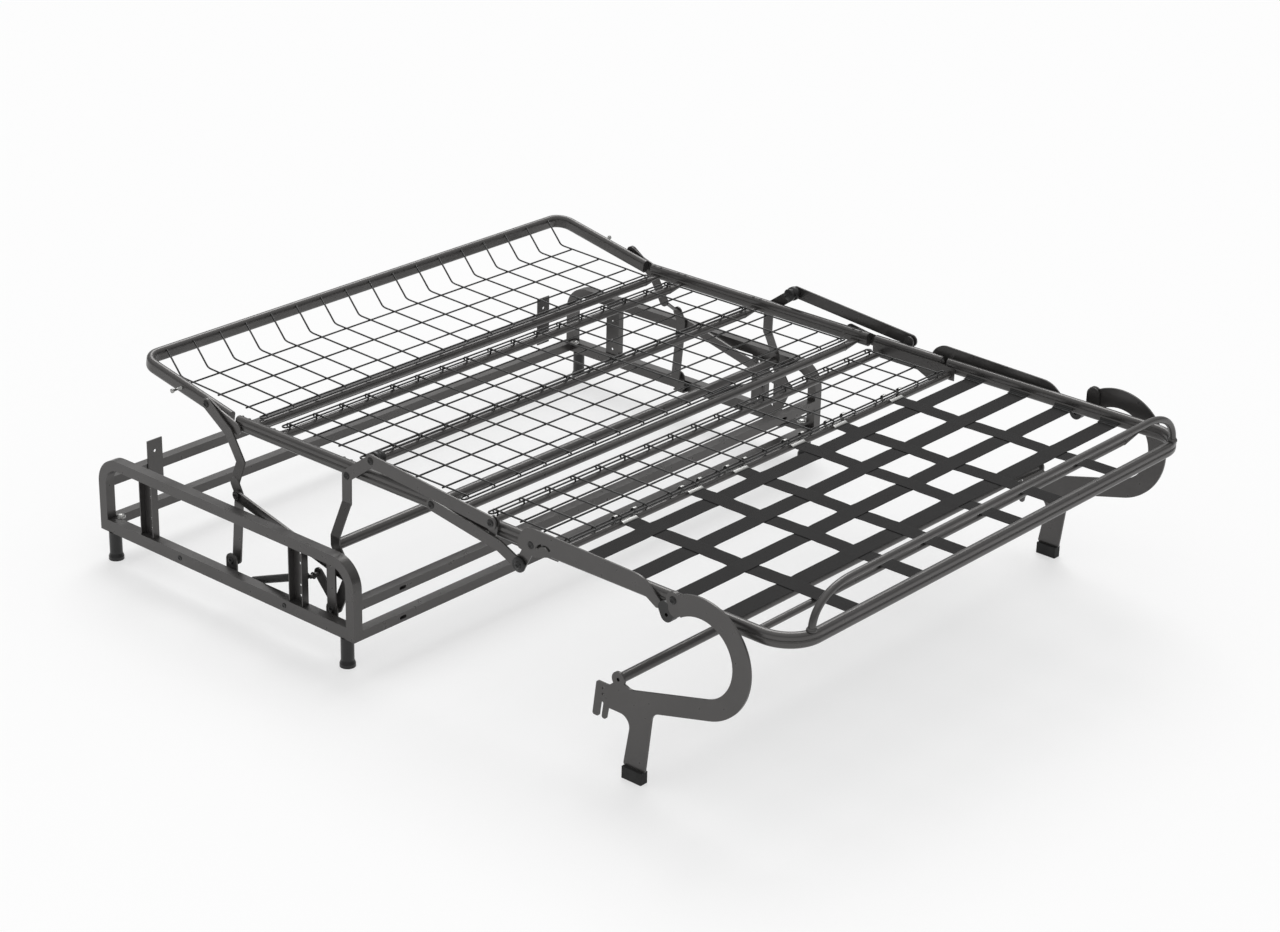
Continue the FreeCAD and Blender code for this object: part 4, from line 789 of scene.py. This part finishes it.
def tops(name, profile, spots, body, material):
    """Fastener heads that face up: a profile turned about Z."""
    grids = [turned(profile, spot, (0.0, 0.0, 1.0), 14) for spot in spots]
    shape_of(name, grids, body, material)


def at(x, joint):
    """A joint's pivot at one x."""
    return (x, PIVOT[joint][1], PIVOT[joint][2])


PIVOTS = {
    "arm_rivets": ("base", [at(TAB_FACE, "fold"), at(TAB_FACE, "rear_arm_swing")]),
    "seat_rivets": ("front_arms", [at(PLATE_FACE, "main_tilt")]),
    "link_rivets": ("upper_links", [at(UPPER_LINK_FACE, "upper_link_swing"), (UPPER_LINK_FACE, *SHORT_EAR)]),
    "lower_link_rivets": ("lower_links", [at(PLATE_FACE, "lower_link_swing"), (TAIL_CAP_FACE, *TAIL)]),
    "leg_rivets": ("leg_frame", [at(LEG_FACE, "leg_fold")]),
    "head_rivets": ("rear_arms", [(PLATE_FACE, *HEAD_LINK)]),
    "brace_rivets": ("diagonal_links", [at(BRACE_FACE, "diagonal_swing"), (BRACE_FACE, *BRACE_FRONT)]),
}
for name, (body, spots) in PIVOTS.items():
    heads(name, RIVET, spots, body, RIVET_STEEL)

heads("foot_rivets", FLAT_RIVET, [at(FOOT_PLATE_FACE, "foot_fold")], "foot_section", RIVET_STEEL)
tip_spots = [at(ARM_TIP_BACK, "upper_link_swing")]
heads("arm_tip_bushings", BUSHING, tip_spots, "front_arms", MOULDED)
heads("lower_link_caps", LINK_CAP, [(PLATE_FACE, *TAIL)], "lower_links", MOULDED)
heads("headrest_studs", STUD, [HEAD_STUD], "headrest", ZINC)
heads("sill_screws", SCREW, [(SILL_FACE, *spot) for spot in SILL_SCREWS], "base", MOULDED)
leg_spots = [(side * LEG_X, y) for side in SIDES for y in LEG_Y]
tops("leg_washers", WASHER, [(*spot, SILL_TOP) for spot in leg_spots], "base", ZINC)
tops("leg_bolts", BOLT, [(*spot, SILL_TOP + WASHER_TOP) for spot in leg_spots], "base", ZINC)
dot_rows = [y + step for y in (HEAD_BAR, *MAIN_BARS) for step in DOT_STEPS]
main_dots = [(side * DOT_X, y, MAIN_DOT_Z) for side in SIDES for y in dot_rows]
tops("main_rail_rivets", DOT, main_dots, "main_section", ANTHRACITE)
foot_dots = [(x, FOOT_INSIDE - RAIL_HALF, FOOT_DOT_Z) for x in LONG_STRAPS]
tops("foot_rail_rivets", DOT, foot_dots, "foot_section", ANTHRACITE)


# Floor, light and camera

FLOOR_REACH = 300.0
WHITE_SHARE = 0.55


def floor():
    """A pale level sheet, far wider than the view.

    It is part lit and part plain white to the camera and to glossy rays, so that the shadows stay soft.
    """
    corners = FLOOR_REACH * np.array([(-1, -1, 0), (1, -1, 0), (1, 1, 0), (-1, 1, 0)], float)
    mesh = bpy.data.meshes.new("floor")
    mesh.from_pydata(corners, [], [(0, 1, 2, 3)])
    material, nodes, links, shader = new_material("pale_floor")
    shader.inputs["Base Color"].default_value = (0.93, 0.93, 0.93, 1.0)
    shader.inputs["Roughness"].default_value = 0.9
    shader.inputs["Specular IOR Level"].default_value = 0.1
    glow = nodes.new("ShaderNodeEmission")
    glow.inputs["Color"].default_value = (0.955, 0.955, 0.955, 1.0)
    rays = nodes.new("ShaderNodeLightPath")
    seen = nodes.new("ShaderNodeMath")
    seen.operation = "MAXIMUM"
    links.new(rays.outputs["Is Camera Ray"], seen.inputs[0])
    links.new(rays.outputs["Is Glossy Ray"], seen.inputs[1])
    share = nodes.new("ShaderNodeMath")
    share.operation = "MULTIPLY"
    share.inputs[1].default_value = WHITE_SHARE
    links.new(seen.outputs["Value"], share.inputs[0])
    blend = nodes.new("ShaderNodeMixShader")
    links.new(share.outputs["Value"], blend.inputs["Fac"])
    links.new(shader.outputs["BSDF"], blend.inputs[1])
    links.new(glow.outputs["Emission"], blend.inputs[2])
    links.new(blend.outputs["Shader"], nodes["Material Output"].inputs["Surface"])
    sheet = bpy.data.objects.new("floor", mesh)
    sheet.data.materials.append(material)
    bpy.context.scene.collection.objects.link(sheet)


def soft_sun(name, direction, strength, spread):
    """Distant lamp with a wide disc, shining along a direction."""
    lamp = bpy.data.lights.new(name, "SUN")
    lamp.energy = strength
    lamp.angle = math.radians(spread)
    item = bpy.data.objects.new(name, lamp)
    item.rotation_euler = Vector(direction).to_track_quat("-Z", "Y").to_euler()
    bpy.context.scene.collection.objects.link(item)


def studio_world(level, overhead):
    """White surroundings that brighten from the horizon to overhead, as under a ceiling of soft light."""
    world = bpy.data.worlds.new("studio")
    world.use_nodes = True
    nodes, links = world.node_tree.nodes, world.node_tree.links
    parts = nodes.new("ShaderNodeSeparateXYZ")
    links.new(nodes.new("ShaderNodeTexCoord").outputs["Generated"], parts.inputs["Vector"])
    rise = nodes.new("ShaderNodeMapRange")
    rise.inputs["To Min"].default_value = level
    rise.inputs["To Max"].default_value = overhead
    links.new(parts.outputs["Z"], rise.inputs["Value"])
    nodes["Background"].inputs["Color"].default_value = (1.0, 1.0, 1.0, 1.0)
    links.new(rise.outputs["Result"], nodes["Background"].inputs["Strength"])
    bpy.context.scene.world = world


CAMERA_TURN = math.radians(-49.20)
CAMERA_RISE = math.radians(23.67)
CAMERA_ROLL = math.radians(1.39)
CAMERA_AIM = np.array([0.0, 0.031, 0.264])
CAMERA_DISTANCE = 6.758
SENSOR_WIDTH = 36.0
FOCAL_PIXELS = 2947.4
PHOTO_WIDTH = 1280.0


def photo_camera():
    """The photograph's view: a point on a sphere about the aim, with the picture turned by the roll."""
    level = math.cos(CAMERA_RISE)
    back = np.array([math.sin(CAMERA_TURN) * level, -math.cos(CAMERA_TURN) * level, math.sin(CAMERA_RISE)])
    flat_right = np.array([math.cos(CAMERA_TURN), math.sin(CAMERA_TURN), 0.0])
    flat_up = np.cross(back, flat_right)
    right = math.cos(CAMERA_ROLL) * flat_right + math.sin(CAMERA_ROLL) * flat_up
    up = -math.sin(CAMERA_ROLL) * flat_right + math.cos(CAMERA_ROLL) * flat_up
    data = bpy.data.cameras.new("photo_camera")
    data.sensor_width = SENSOR_WIDTH
    data.lens = SENSOR_WIDTH * FOCAL_PIXELS / PHOTO_WIDTH
    camera = bpy.data.objects.new("photo_camera", data)
    matrix = np.eye(4)
    matrix[:3, :] = np.column_stack([right, up, back, CAMERA_AIM + CAMERA_DISTANCE * back])
    camera.matrix_world = Matrix(matrix.tolist())
    bpy.context.scene.collection.objects.link(camera)
    bpy.context.scene.camera = camera


floor()
soft_sun("key", direction=(-0.50, -0.40, -0.77), strength=1.3, spread=34.0)
studio_world(level=0.22, overhead=1.05)
bpy.context.scene.view_settings.view_transform = "Standard"
photo_camera()
